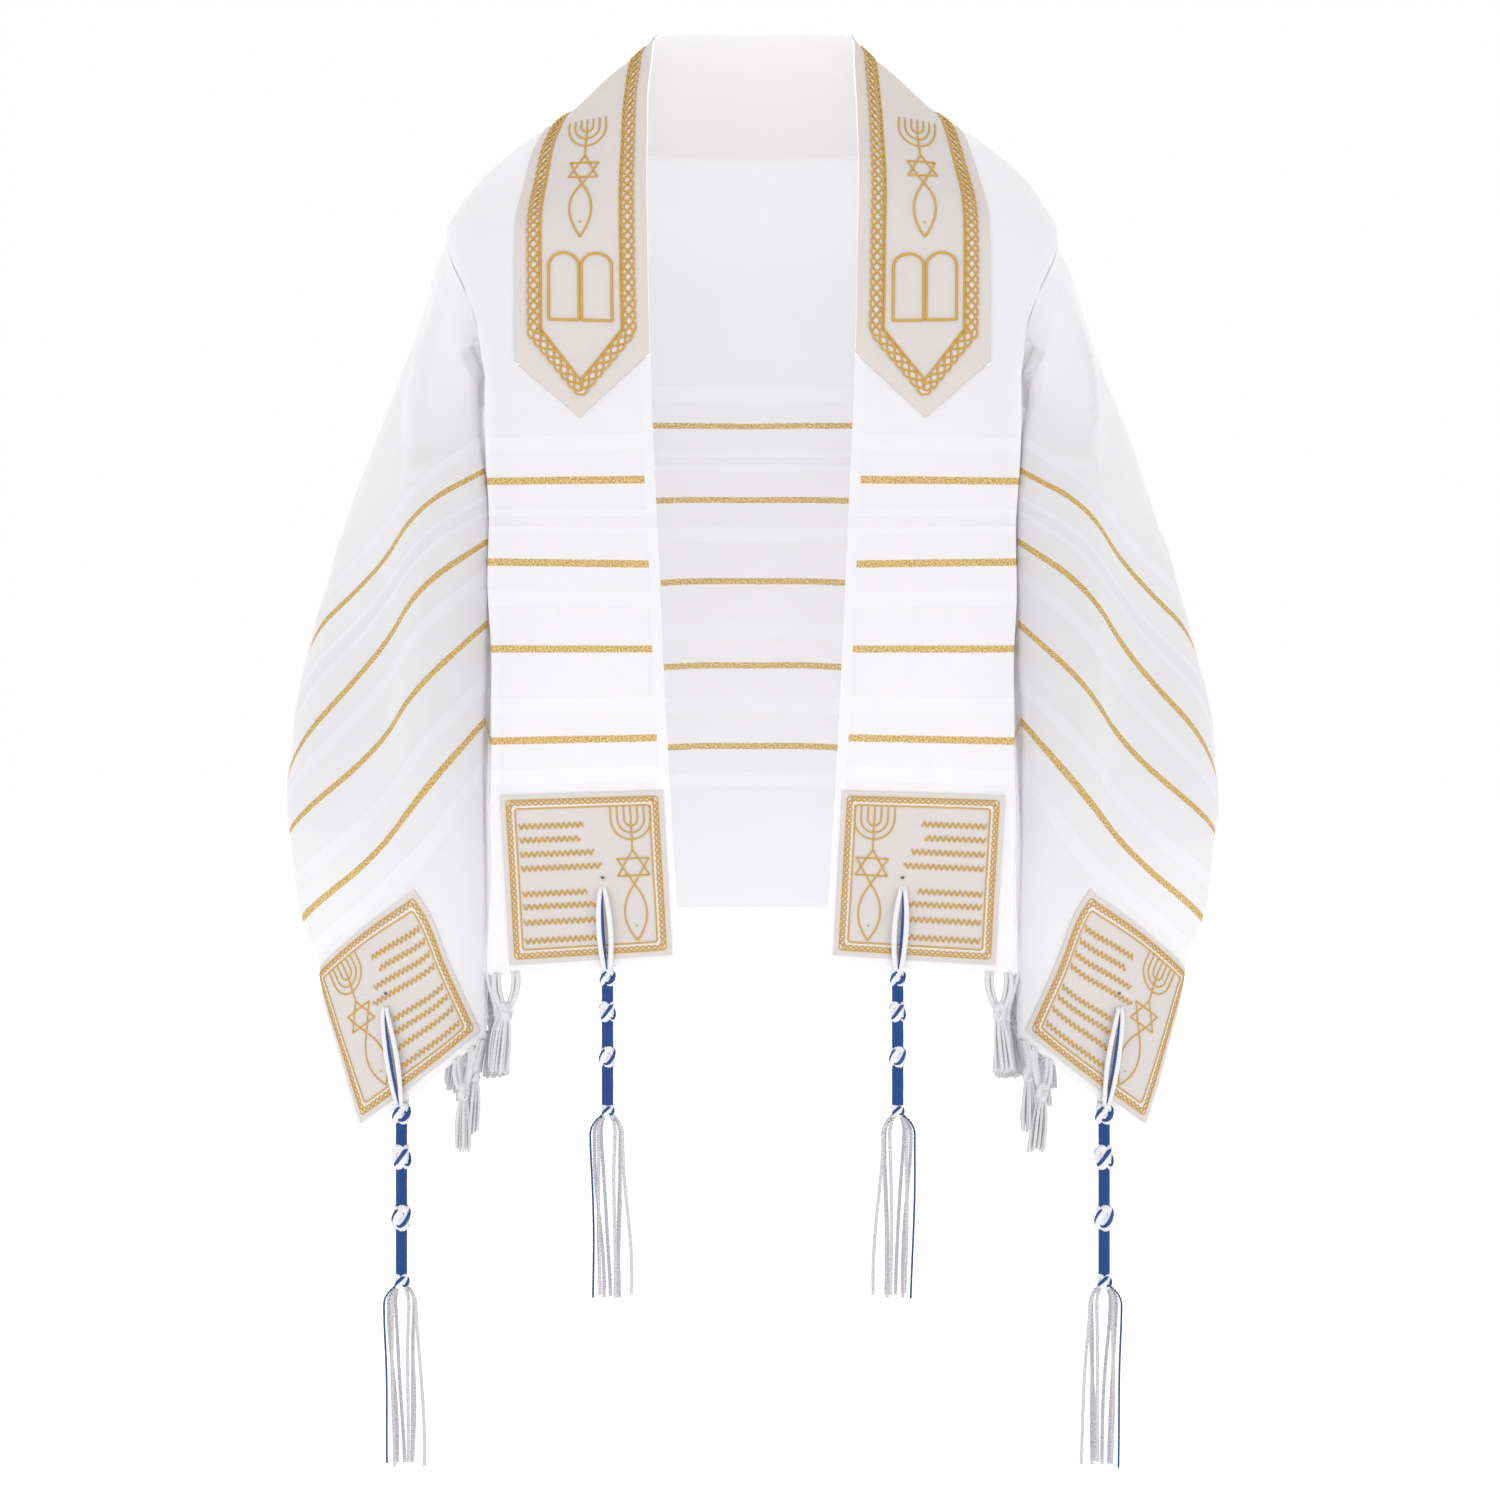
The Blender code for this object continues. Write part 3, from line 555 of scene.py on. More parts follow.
    def corners(self, along: Array) -> tuple[Array, Array]:
        """The corners that each row runs round, and the rounding of each inner one.

        What the panel and the sleeve leave of the width goes into the pleat between them.

        Args:
            along: Places along the cloth.

        Returns:
            Corners, rows by 9 by 3, and roundings, rows by 7.
        """
        lines = (self.neck_edge, self.panel_fold, self.sleeve_fold, self.sleeve_crest)
        lines += (self.sleeve_flank, self.sleeve_side, self.lower_edge)
        neck, fold, *sleeve = (guide(line, along) for line in lines)
        places, *columns = np.array(self.pleat).T
        most, spread, rounding = (np.interp(abs(along), places, column) for column in columns)
        seen = np.linalg.norm(fold - neck, axis=1)
        seen = seen + sum(np.linalg.norm(b - a, axis=1) for a, b in zip(sleeve, sleeve[1:]))
        depth = np.clip((self.cloth_width - seen - spread) / 2, self.pleat_least, most)[:, None]
        formed = np.minimum(1.0, depth / self.pleat_formed)
        side = np.where(along < 0, -1.0, 1.0)[:, None]
        turn = unit(np.array(self.pleat_turn) * (side * [1.0, 0.0, 0.0] + [0.0, 1.0, 1.0]))
        middle = (fold + sleeve[0]) / 2
        inward = unit(middle * [-1.0, -1.0, 0.0])
        bottom = middle + unit(turn * formed + inward * (1 - formed)) * depth
        apart = -side * spread[:, None] * formed * [1.0, 0.0, 0.0]
        apart = apart + self.pleat_unformed_spread * (sleeve[0] - fold) * (1 - formed)
        corners = np.stack([neck, fold, bottom - apart / 2, bottom + apart / 2, *sleeve], axis=1)
        soft = np.full((len(along), 3), self.soft_rounding)
        return corners, np.concatenate([np.repeat(rounding[:, None], 4, axis=1), soft], axis=1)

    def rounded_rows(self, along: Array) -> tuple[Array, Array]:
        """The rows with each corner C rounded by the parabola (1-t)^2 A + 2t(1-t) C + t^2 B.

        Args:
            along: Places along the cloth.

        Returns:
            Points, rows by samples by 3, and where the cloth's parts start and end on each row.
        """
        corners, cuts = self.corners(along)
        points = [corners[:, :1]]
        for k in range(1, corners.shape[1] - 1):
            corner, cut = corners[:, k], cuts[:, k - 1, None]
            away = [corners[:, k + way] - corner for way in (-1, 1)]
            far = [np.linalg.norm(side, axis=1, keepdims=True) for side in away]
            start, end = (
                corner + side * np.minimum(cut / length, self.rounding_reach)
                for side, length in zip(away, far)
            )
            points.append(bend(start, corner, end, self.samples))
        points = np.concatenate([*points, corners[:, -1:]], axis=1)
        reach = reach_of(points)
        marks = [1 + k * self.samples + end for k in range(4) for end in (0, self.samples - 1)]
        keys = np.concatenate([reach[:, :1], reach[:, marks], reach[:, -1:]], axis=1)
        return points, np.concatenate([reach, keys], axis=1)

    def surface(self, along: Array) -> Surface:
        """The cloth's middle surface for these rows, with its flutes, soft folds and waves.

        Args:
            along: Places along the cloth, rising.

        Returns:
            The surface, its lines set close where the cloth is folded.
        """
        points, marks = self.rounded_rows(along)
        reach, keys = marks[:, : points.shape[1]], marks[:, points.shape[1] :]
        spans = zip(keys.T, keys.T[1:], self.line_counts)
        places = [np.linspace(a, b, count, endpoint=False, axis=1) for a, b, count in spans]
        places = np.concatenate([*places, keys[:, -1:]], axis=1)
        grid = read_rows(np.arange(len(along))[:, None], places, reach, points)
        whole = reach[:, -1:]
        grid = grid + outward(grid) * self.swell(along[:, None], places / whole)[..., None]
        start, length = self.hidden
        across = places + smoothstep((places - start) / length) * (self.cloth_width - whole)
        grid = grid + outward(grid) * self.creases(along[:, None], across)[..., None]
        return Surface(along, across, grid, outward(grid))

    def swell(self, along: Array, share: Array) -> Array:
        """Flutes of the back and the sleeves: depth * cos^2(pi/2 * distance) * share^0.8.

        Args:
            along: Places along the cloth.
            share: Distance from the neck edge as a share of the width.

        Returns:
            Height over the plain hang.
        """
        total = np.zeros(share.shape)
        for middle, half_width, depth, start in self.flutes:
            near = np.clip(np.abs(np.abs(along) - middle) / half_width, 0, 1)
            grown = np.clip((share * self.cloth_width - start) / (self.cloth_width - start), 0, 1)
            total += depth * np.cos(near * math.pi / 2) ** 2 * grown**self.flute_growth
        middle, half_width, height, across, half_across = self.crown
        near = np.clip(np.abs(np.abs(along) - middle) / half_width, 0, 1)
        over = np.clip(np.abs(share * self.cloth_width - across) / half_across, 0, 1)
        return total + height * (np.cos(near * math.pi / 2) * np.cos(over * math.pi / 2)) ** 2

    def creases(self, along: Array, across: Array) -> Array:
        """Soft folds h * exp(-(d / w)^2) beside a line over the cloth, and fine slow waves.

        Args:
            along: Places along the cloth.
            across: Distances from the neck edge.

        Returns:
            Height over the fluted cloth.
        """
        place = np.abs(along)
        total = np.zeros(across.shape)
        for (start, end, height, width), places, line in self.soft_folds:
            middle = np.interp(place, places, line)
            begun, left = (smoothstep(x / self.fold_fade) for x in (place - start, end - place))
            total += height * (begun * left) * np.exp(-(((across - middle) / width) ** 2))
        for size, along_wave, across_wave, turn in self.waves:
            total += size * np.sin(along * along_wave + across * across_wave + turn)
        return total


# ---- Finishes ----------------------------------------------------------------------------------


class Graph:
    """A material whose nodes are made by short calls."""

    def __init__(self, name: str) -> None:
        """Makes the material with a Principled shader.

        Args:
            name: Name of the material.
        """
        self.material = bpy.data.materials.new(name)
        self.material.use_nodes = True
        self.nodes = self.material.node_tree.nodes
        self.links = self.material.node_tree.links
        self.shader = self.nodes["Principled BSDF"]

    def set(self, socket: bpy.types.NodeSocket, value: object) -> None:
        """Joins another node's output to a socket, or sets the socket's own value.

        Args:
            socket: The input.
            value: A node's output, a colour, or the value.
        """
        if isinstance(value, bpy.types.NodeSocket):
            self.links.new(value, socket)
        elif isinstance(value, tuple) and len(value) == 3 and socket.type == "RGBA":
            socket.default_value = (*value, 1.0)
        else:
            socket.default_value = value

    def math(self, operation: str, *values: object) -> bpy.types.NodeSocket:
        """Result of a Math node.

        Args:
            operation: The node's operation.
            values: Its inputs, in order.

        Returns:
            Its output.
        """
        node = self.nodes.new("ShaderNodeMath")
        node.operation = operation
        for socket, value in zip(node.inputs, values):
            self.set(socket, value)
        return node.outputs[0]

    def times(self, first: object, second: object) -> bpy.types.NodeSocket:
        """Product of two values."""
        return self.math("MULTIPLY", first, second)

    def plus(self, first: object, second: object) -> bpy.types.NodeSocket:
        """Sum of two values."""
        return self.math("ADD", first, second)

    def above(self, value: object, limit: float) -> bpy.types.NodeSocket:
        """1 where the value is over the limit, otherwise 0."""
        return self.math("GREATER_THAN", value, limit)

    def below(self, value: object, limit: float) -> bpy.types.NodeSocket:
        """1 where the value is under the limit, otherwise 0."""
        return self.math("LESS_THAN", value, limit)

    def dress(self, values: dict[str, object]) -> None:
        """Sets the shader's own sockets by their names."""
        for name, value in values.items():
            self.set(self.shader.inputs[name], value)

    def largest(self, values: Sequence[object]) -> bpy.types.NodeSocket:
        """The largest of several values.

        Args:
            values: Outputs of nodes.

        Returns:
            The last node's output.
        """
        result = values[0]
        for value in values[1:]:
            result = self.math("MAXIMUM", result, value)
        return result

    def mix(self, share: object, first: object, second: object) -> bpy.types.NodeSocket:
        """Mix of two colours.

        Args:
            share: How much of the second there is.
            first: The first colour.
            second: The second colour.

        Returns:
            The node's output.
        """
        node = self.nodes.new("ShaderNodeMix")
        node.data_type = "RGBA"
        self.set(node.inputs["Factor"], share)
        self.set(node.inputs[6], first)
        self.set(node.inputs[7], second)
        return node.outputs[2]

    def weave_map(self) -> tuple[bpy.types.NodeSocket, bpy.types.NodeSocket]:
        """The piece's own map.

        Returns:
            Metres along, and metres across.
        """
        node = self.nodes.new("ShaderNodeUVMap")
        node.uv_map = "weave"
        apart = self.nodes.new("ShaderNodeSeparateXYZ")
        self.links.new(node.outputs[0], apart.inputs[0])
        return apart.outputs[0], apart.outputs[1]

    def noise(self, x: object, y: object, scale: float, detail: float) -> bpy.types.NodeSocket:
        """Noise from 0 to 1 over two lengths.

        Args:
            x: First length.
            y: Second length.
            scale: Waves to the metre.
            detail: The node's detail.

        Returns:
            The noise's value.
        """
        place = self.nodes.new("ShaderNodeCombineXYZ")
        self.set(place.inputs[0], x)
        self.set(place.inputs[1], y)
        node = self.nodes.new("ShaderNodeTexNoise")
        node.inputs["Scale"].default_value = scale
        node.inputs["Detail"].default_value = detail
        self.links.new(place.outputs[0], node.inputs["Vector"])
        return node.outputs[0]

    def ribs(self, angle: object) -> bpy.types.NodeSocket:
        """Ribs from 0 to 1: (1 + sin(angle)) / 2."""
        return self.math("MULTIPLY_ADD", self.math("SINE", angle), 0.5, 0.5)

    def shade(self, rib: object, soft: object, shares: Row, light: Color, dark: Color) -> None:
        """Mixes the base colour from light to dark: the ribs paint shade into the grooves
        between them, and a soft noise varies the tone at random.

        Args:
            rib: The ribs, from 0 to 1.
            soft: The noise, from 0 to 1.
            shares: How much each of the two darkens.
            light: The light colour.
            dark: The dark colour, a shaded copy of the light one, for the painted shade.
        """
        share = self.plus(self.times(rib, shares[0]), self.times(soft, shares[1]))
        self.dress({"Base Color": self.mix(share, light, dark)})

    def let_through(self, share: float, depth: float) -> None:
        """Lets light pass a thin wall, by subsurface scattering.

        Args:
            share: The shader's subsurface weight.
            depth: How far light travels inside, in metres.
        """
        values = {"Weight": share, "Scale": depth, "Radius": WHITE}
        self.dress({f"Subsurface {name}": value for name, value in values.items()})

    def bump(self, height: object, distance: float, strength: float) -> None:
        """Bumps the shader's normal by a height.

        Args:
            height: The height, from 0 to 1.
            distance: How high 1 is, in metres.
            strength: The node's strength.
        """
        node = self.nodes.new("ShaderNodeBump")
        node.inputs["Strength"].default_value = strength
        node.inputs["Distance"].default_value = distance
        self.set(node.inputs["Height"], height)
        self.links.new(node.outputs[0], self.shader.inputs["Normal"])


@dataclass(frozen=True)
class ClothFinish:
    """Fine pale wool with woven stripes of gold thread, and bands of smoother white yarn.

    Bands are rows of middle and half the width, in metres from the short end's hem near the ends,
    and in metres from the lower edge on the back. Painted light: a white emission brightens the
    cloth where it lies in shade behind a second layer, under the neckband (reach, width, glow) and
    in the pleat (start, middle, half, glow). A noise is its scale and detail, and a stripe's edge
    wanders by it. Flecks of the gold thread are dark under the first limit and bright over the
    second.
    """

    base: Color = (0.755, 0.742, 0.763)
    satin: Color = (0.788, 0.780, 0.827)
    lilac: Color = (0.733, 0.720, 0.764)
    gold: Color = (0.56, 0.36, 0.12)
    gold_dark: Color = (0.34, 0.20, 0.062)
    gold_bright: Color = (0.76, 0.58, 0.30)
    roughness: float = 0.82
    through: float = 0.8
    through_depth: float = 0.007
    shine: float = 0.15
    # Painted light: white emission that brightens the cloth where it lies in shade, under the
    # neckband and in the pleat.
    painted_light_behind_band: Row = (0.43, 0.110, 0.235)
    in_pleat: Row = (0.51, 0.24, 0.065, 0.40)
    end_gold: Table = ((0.391, 0.0029), (0.3265, 0.0029), (0.258, 0.0029), (0.185, 0.0029))
    end_satin: Table = (
        (0.42, 0.006), (0.359, 0.009), (0.298, 0.006), (0.213, 0.006), (0.156, 0.006),
    )
    end_lilac: Table = ((0.359, 0.0045),)
    back_gold: Table = (
        (0.429, 0.0027), (0.36, 0.0027), (0.286, 0.0027), (0.212, 0.0027), (0.1415, 0.0027),
    )
    back_satin: Table = (
        (0.458, 0.007), (0.396, 0.0085), (0.328, 0.007), (0.242, 0.007), (0.178, 0.007),
        (0.112, 0.0065),
    )
    back_lilac: Table = ((0.396, 0.004),)
    ends_from: float = 0.46
    back_to: float = 0.27
    selvage: float = 0.0085
    selvage_from: float = 0.43
    half_length: float = CLOTH_LENGTH / 2
    cloth_width: float = CLOTH_WIDTH
    edge_noise: Row = (900.0, 2.0)
    edge_wander: float = 0.0016
    fleck_noise: Row = (750.0, 3.0)
    fleck_limits: Row = (0.43, 0.58)
    smoother: Row = (0.25, 0.45)
    metallic: float = 0.2
    weave_noise: Row = (1300.0, 2.0)
    weave_stretch: float = 1.6
    relief: Row = (0.0004, 0.35)
    gold_rise: float = 0.5

    def build(self, name: str) -> bpy.types.Material:
        """Makes the material on the map "weave".

        Args:
            name: Name of the material.

        Returns:
            The material.
        """
        g = Graph(name)
        along, across = g.weave_map()
        place = g.math("ABSOLUTE", along)
        wander = g.math("SUBTRACT", g.noise(along, across, *self.edge_noise), 0.5)
        wander = g.times(wander, self.edge_wander)
        from_hem = g.plus(g.math("SUBTRACT", self.half_length, place), wander)
        from_edge = g.plus(g.math("SUBTRACT", self.cloth_width, across), wander)
        at_ends, on_back = g.above(place, self.ends_from), g.below(place, self.back_to)

        def bands(ends: Table, back: Table) -> bpy.types.NodeSocket:
            """1 on the bands, otherwise 0.

            Args:
                ends: Bands near the ends.
                back: Bands on the back.

            Returns:
                A node's output.
            """
            near_ends = g.largest([g.math("COMPARE", from_hem, *band) for band in ends])
            near_back = g.largest([g.math("COMPARE", from_edge, *band) for band in back])
            return g.largest([g.times(near_ends, at_ends), g.times(near_back, on_back)])

        gold = g.times(bands(self.end_gold, self.back_gold), g.above(across, self.selvage))
        edge = g.times(g.below(across, self.selvage), g.above(place, self.selvage_from))
        satin = g.largest([bands(self.end_satin, self.back_satin), edge])
        lilac = bands(self.end_lilac, self.back_lilac)
        flecks = g.noise(along, across, *self.fleck_noise)
        dark, bright = self.fleck_limits
        thread = g.mix(g.below(flecks, dark), self.gold, self.gold_dark)
        thread = g.mix(g.above(flecks, bright), thread, self.gold_bright)
        color = g.mix(lilac, g.mix(satin, self.base, self.satin), self.lilac)
        satin_smooth, gold_smooth = self.smoother
        smooth = g.largest([g.times(satin, satin_smooth), g.times(gold, gold_smooth)])
        # Painted light: emission masks brighten the cloth under the back of the neckband and inside
        # the pleat, where it lies in shade.
        reach, width, glow = self.painted_light_behind_band
        painted_light_under_band = g.times(g.below(place, reach), g.below(across, width))
        start, middle, half, painted_pleat_light = self.in_pleat
        folded = g.times(g.above(place, start), g.math("COMPARE", across, middle, half))
        glow = g.math("MULTIPLY_ADD", folded, painted_pleat_light, g.times(painted_light_under_band, glow))
        g.dress({
            "Base Color": g.mix(gold, color, thread),
            "Roughness": g.math("SUBTRACT", self.roughness, smooth),
            "Metallic": g.times(gold, self.metallic),
            "Specular IOR Level": self.shine,
            "Emission Color": WHITE,
            "Emission Strength": glow,
        })
        g.let_through(self.through, self.through_depth)
        weave = g.noise(g.times(along, self.weave_stretch), across, *self.weave_noise)
        g.bump(g.plus(weave, g.times(gold, self.gold_rise)), *self.relief)
        return g.material


@dataclass(frozen=True)
class TwillFinish:
    """Cream twill: fine slanting ribs, sin(2 pi (u + v) / pitch), raised by a bump and with
    painted shade between them; a soft noise varies the tone.
    """

    light: Color = (0.665, 0.620, 0.598)
    dark: Color = (0.550, 0.503, 0.480)
    pitch: float = 0.0019
    roughness: float = 0.78
    soft_noise: Row = (60.0, 2.0)
    shares: Row = (0.26, 0.26)
    relief: Row = (0.0004, 0.4)

    def build(self, name: str) -> bpy.types.Material:
        """Makes the material on the map "weave".

        Args:
            name: Name of the material.

        Returns:
            The material.
        """
        g = Graph(name)
        along, across = g.weave_map()
        rib = g.ribs(g.times(g.plus(along, across), 2 * math.pi / self.pitch))
        g.shade(rib, g.noise(along, across, *self.soft_noise), self.shares, self.light, self.dark)
        g.dress({"Roughness": self.roughness})
        g.bump(rib, *self.relief)
        return g.material


@dataclass(frozen=True)
class YarnFinish:
    """Thread or yarn: fine turns across its length, with painted shade in the grooves between
    them, and a colour that wanders a little.
    """

    light: Color
    dark: Color
    pitch: float = 0.0012
    roughness: float = 0.8
    metallic: float = 0.0
    turn_slant: float = 100.0
    soft_noise: Row = (300.0, 2.0)
    shares: Row = (0.4, 0.5)
    relief: Row = (0.0003, 0.5)

    def build(self, name: str) -> bpy.types.Material:
        """Makes the material. The piece's map holds metres along the thread, then round it.

        Args:
            name: Name of the material.

        Returns:
            The material.
        """
        g = Graph(name)
        along, turn = g.weave_map()
        turns = g.times(along, 2 * math.pi / self.pitch)
        rib = g.ribs(g.plus(turns, g.times(turn, self.turn_slant)))
        g.shade(rib, g.noise(along, turn, *self.soft_noise), self.shares, self.light, self.dark)
        g.dress({"Roughness": self.roughness, "Metallic": self.metallic})
        g.bump(rib, *self.relief)
        return g.material


# Each thread's dark colour is its light one in painted shade; the ribs mix the two.
GOLD_THREAD = YarnFinish((0.70, 0.43, 0.095), (0.42, 0.24, 0.046), 0.0011, 0.45, 0.15)
WHITE_SATIN = YarnFinish((0.80, 0.78, 0.78), (0.70, 0.68, 0.67), 0.0009, 0.55)
WHITE_YARN = YarnFinish((0.69, 0.685, 0.70), (0.60, 0.595, 0.61), 0.0030, 0.85)
WHITE_CORD = YarnFinish((0.82, 0.80, 0.83), (0.70, 0.685, 0.72), 0.0026, 0.75)
BLUE_CORD = YarnFinish((0.010, 0.080, 0.30), (0.004, 0.035, 0.15), 0.0026, 0.7)
# Painted shadow: near-black colour for a small dome that stands for the shade inside the eyelet's
# hole.
EYELET_SHADOW_PAINT = YarnFinish((0.10, 0.10, 0.11), (0.05, 0.05, 0.055), 0.0026, 0.9)


def sewing_threads(name: str) -> list[bpy.types.Material]:
    """Gold thread and white satin for one piece of embroidery."""
    return [GOLD_THREAD.build(f"gold thread {name}"), WHITE_SATIN.build(f"white thread {name}")]


# ---- The pieces --------------------------------------------------------------------------------


@dataclass
class Shawl:
    """The cloth: one thin wall over the whole surface."""

    surface: Surface
    finish: ClothFinish
    wall: float = 0.0012

    def build(self) -> bpy.types.Object:
        """Makes the cloth.

        Returns:
            The piece that stands for the CAD node "shawl".
        """
        s = self.surface
        parts = even_wall(s.points, s.normals, self.wall, s.along, s.across)
        return parts.build("cloth", [self.finish.build("shawl cloth")], "shawl_cloth", "shawl")


@dataclass
class PleatFold:
    """The fold of cloth that shows in the mouth of each pleat, between the panel and the sleeve."""

    surface: Surface
    finish: ClothFinish
    lines: tuple[int, int]
    from_along: float = 0.40
    sag: float = 0.003
    wall: float = 0.0010
    columns: int = 9

    def build(self, half: Half) -> bpy.types.Object:
        """Makes the fold of one half: A (1 - t) + B t, pressed in by 4 sag t (1 - t).

        Args:
            half: The half of the shawl.

        Returns:
            The piece, whose edges lie in the walls of the two layers that it joins.
        """
        rows = np.nonzero(self.surface.along * half.value > self.from_along)[0]
        first, second = (self.surface.points[rows, line] for line in self.lines)
        t = np.linspace(0.0, 1.0, self.columns)
        points = first[:, None] * (1 - t)[:, None] + second[:, None] * t[:, None]
        points = points + BACKWARD * (4 * self.sag * t * (1 - t))[:, None]
        across = self.surface.across[rows][:, list(self.lines)]
        across = across[:, :1] * (1 - t) + across[:, 1:] * t
        parts = even_wall(points, outward(points), self.wall, self.surface.along[rows], across)
        name = f"pleat_fold_{half.name.lower()}"
        return parts.build(name, [self.finish.build(f"cloth {name}")], "shawl_cloth")


# ---- Trims and embroidery ----------------------------------------------------------------------


def even_line(corners: Sequence[Row] | Array, step: float = 0.0012) -> Array:
    """Points at even steps along a flat line.

    Args:
        corners: The line's points.
        step: Distance between the points.

    Returns:
        The points, from the line's start to its end.
    """
    line = np.asarray(corners, float)
    return evenly(line, max(3, int(reach_of(line)[-1] / step)))


def sides_of(line: Array) -> tuple[Array, Array]:
    """Length along a flat line at each of its points, and the unit direction to its left."""
    ahead = unit(np.gradient(line, axis=0))
    return reach_of(line), np.stack([-ahead[:, 1], ahead[:, 0]], axis=1)


@dataclass(frozen=True)
class Figures:
    """The column of figures: a seven-armed lampstand, a six-pointed star, and a fish, joined.

    All lengths are metres. "side" is measured from the column's middle and "down" from its top.
    """

    half_width: float
    arms_centre: float
    arms_depth: float
    star_top: float
    star_bottom: float
    star_half: float
    fish_bottom: float
    fish_half: float
    eye: float
    eye_half: float = 0.0007

    def lines(self) -> list[Array]:
        """Draws the column.

        Returns:
            Its flat lines, each an array of (side, down) points.
        """
        turn = np.linspace(0.0, math.pi, 40)
        made = [even_line([(0.0, 0.0), (0.0, self.star_top)])]
        for share in (1 / 3, 2 / 3, 1.0):
            side = -share * self.half_width * np.cos(turn)
            down = self.arms_centre + share * self.arms_depth * np.sin(turn)
            arms = np.stack([side, down], axis=1)
            made.append(even_line([(side[0], 0.0), *arms, (side[-1], 0.0)]))
        middle = (self.star_top + self.star_bottom) / 2
        radius = (self.star_bottom - self.star_top) / 2
        for way in (-1.0, 1.0):
            low = middle - way * radius / 2
            point = (0.0, middle + way * radius)
            made.append(even_line([point, (self.star_half, low), (-self.star_half, low), point]))
        t = np.linspace(0.0, 1.0, 60)
        for way in (-1.0, 1.0):
            down = self.star_bottom + t * (self.fish_bottom - self.star_bottom)
            made.append(np.stack([way * self.fish_half * (1 - (2 * t - 1) ** 2), down], axis=1))
        dot = np.array([[0.0, -self.eye_half], [0.0, 0.0], [0.0, self.eye_half]]) + [0.0, self.eye]
        return [*made, dot]


@dataclass
class Sewing:
    """Cords sewn on the cloth of one half. Their lines are flat, as (along, across) points."""

    surface: Surface
    half: Half
    ground: float
    parts: MeshParts
    sunk: float = 0.4
    flatness: float = 0.8
    ribbon_rise: float = 0.0001
    ribbon_height: float = 1.5
    ribbon_sides: int = 8

    def sew(
        self, line: Array, lift: Array | float, section: Row, sides: int = 6, shade: int = 0
    ) -> None:
        """Lays one cord along a line.

        Args:
            line: Its flat line, along counted up from the middle of the back on both halves.
            lift: Height of its middle over the cloth.
            section: Half its width and half its height.
            sides: Number of vertices round its section.
            shade: Number of the material.
        """
        along, across = line[:, 0] * self.half.value, line[:, 1]
        path, up = self.surface.place(along, across, lift), self.surface.normal(along, across)
        self.parts.cords(path, up, *section, sides, shade=shade)

    def cord(self, line: Array, radius: float, rise: Array | float = 0.0) -> None:
        """Sews a cord of this radius, its middle sunk a little, and raised by the rise."""
        self.sew(line, self.ground + radius * self.sunk + rise, (radius, radius * self.flatness))

    def ribbon(self, line: Array, half_width: float) -> None:
        """Sews a flat ribbon of satin stitch, the second material, under a braid."""
        section = (half_width, self.ribbon_rise * self.ribbon_height)
        self.sew(line, self.ground + self.ribbon_rise, section, self.ribbon_sides, 1)

    def braid(
        self, line: Array, strands: int, amplitude: float, period: float, radius: float
    ) -> None:
        """Sews a flat braid, whose strand k swings amplitude * cos(a) to the side.

        There a = 2 pi (l / period + k / strands) at the length l. Each strand rises by
        radius / 2 * (1 + sin(3a)), so that it goes over and under the others in turn.

        Args:
            line: Flat middle line of the braid.
            strands: Number of its strands.
            amplitude: How far they swing to each side.
            period: Length of one swing.
            radius: Half the width of a strand.
        """
        reach, left = sides_of(line)
        for k in range(strands):
            turn = 2 * math.pi * (reach / period + k / strands)
            swing = left * (amplitude * np.cos(turn))[:, None]
            self.cord(line + swing, radius, radius / 2 * (1 + np.sin(3 * turn)))


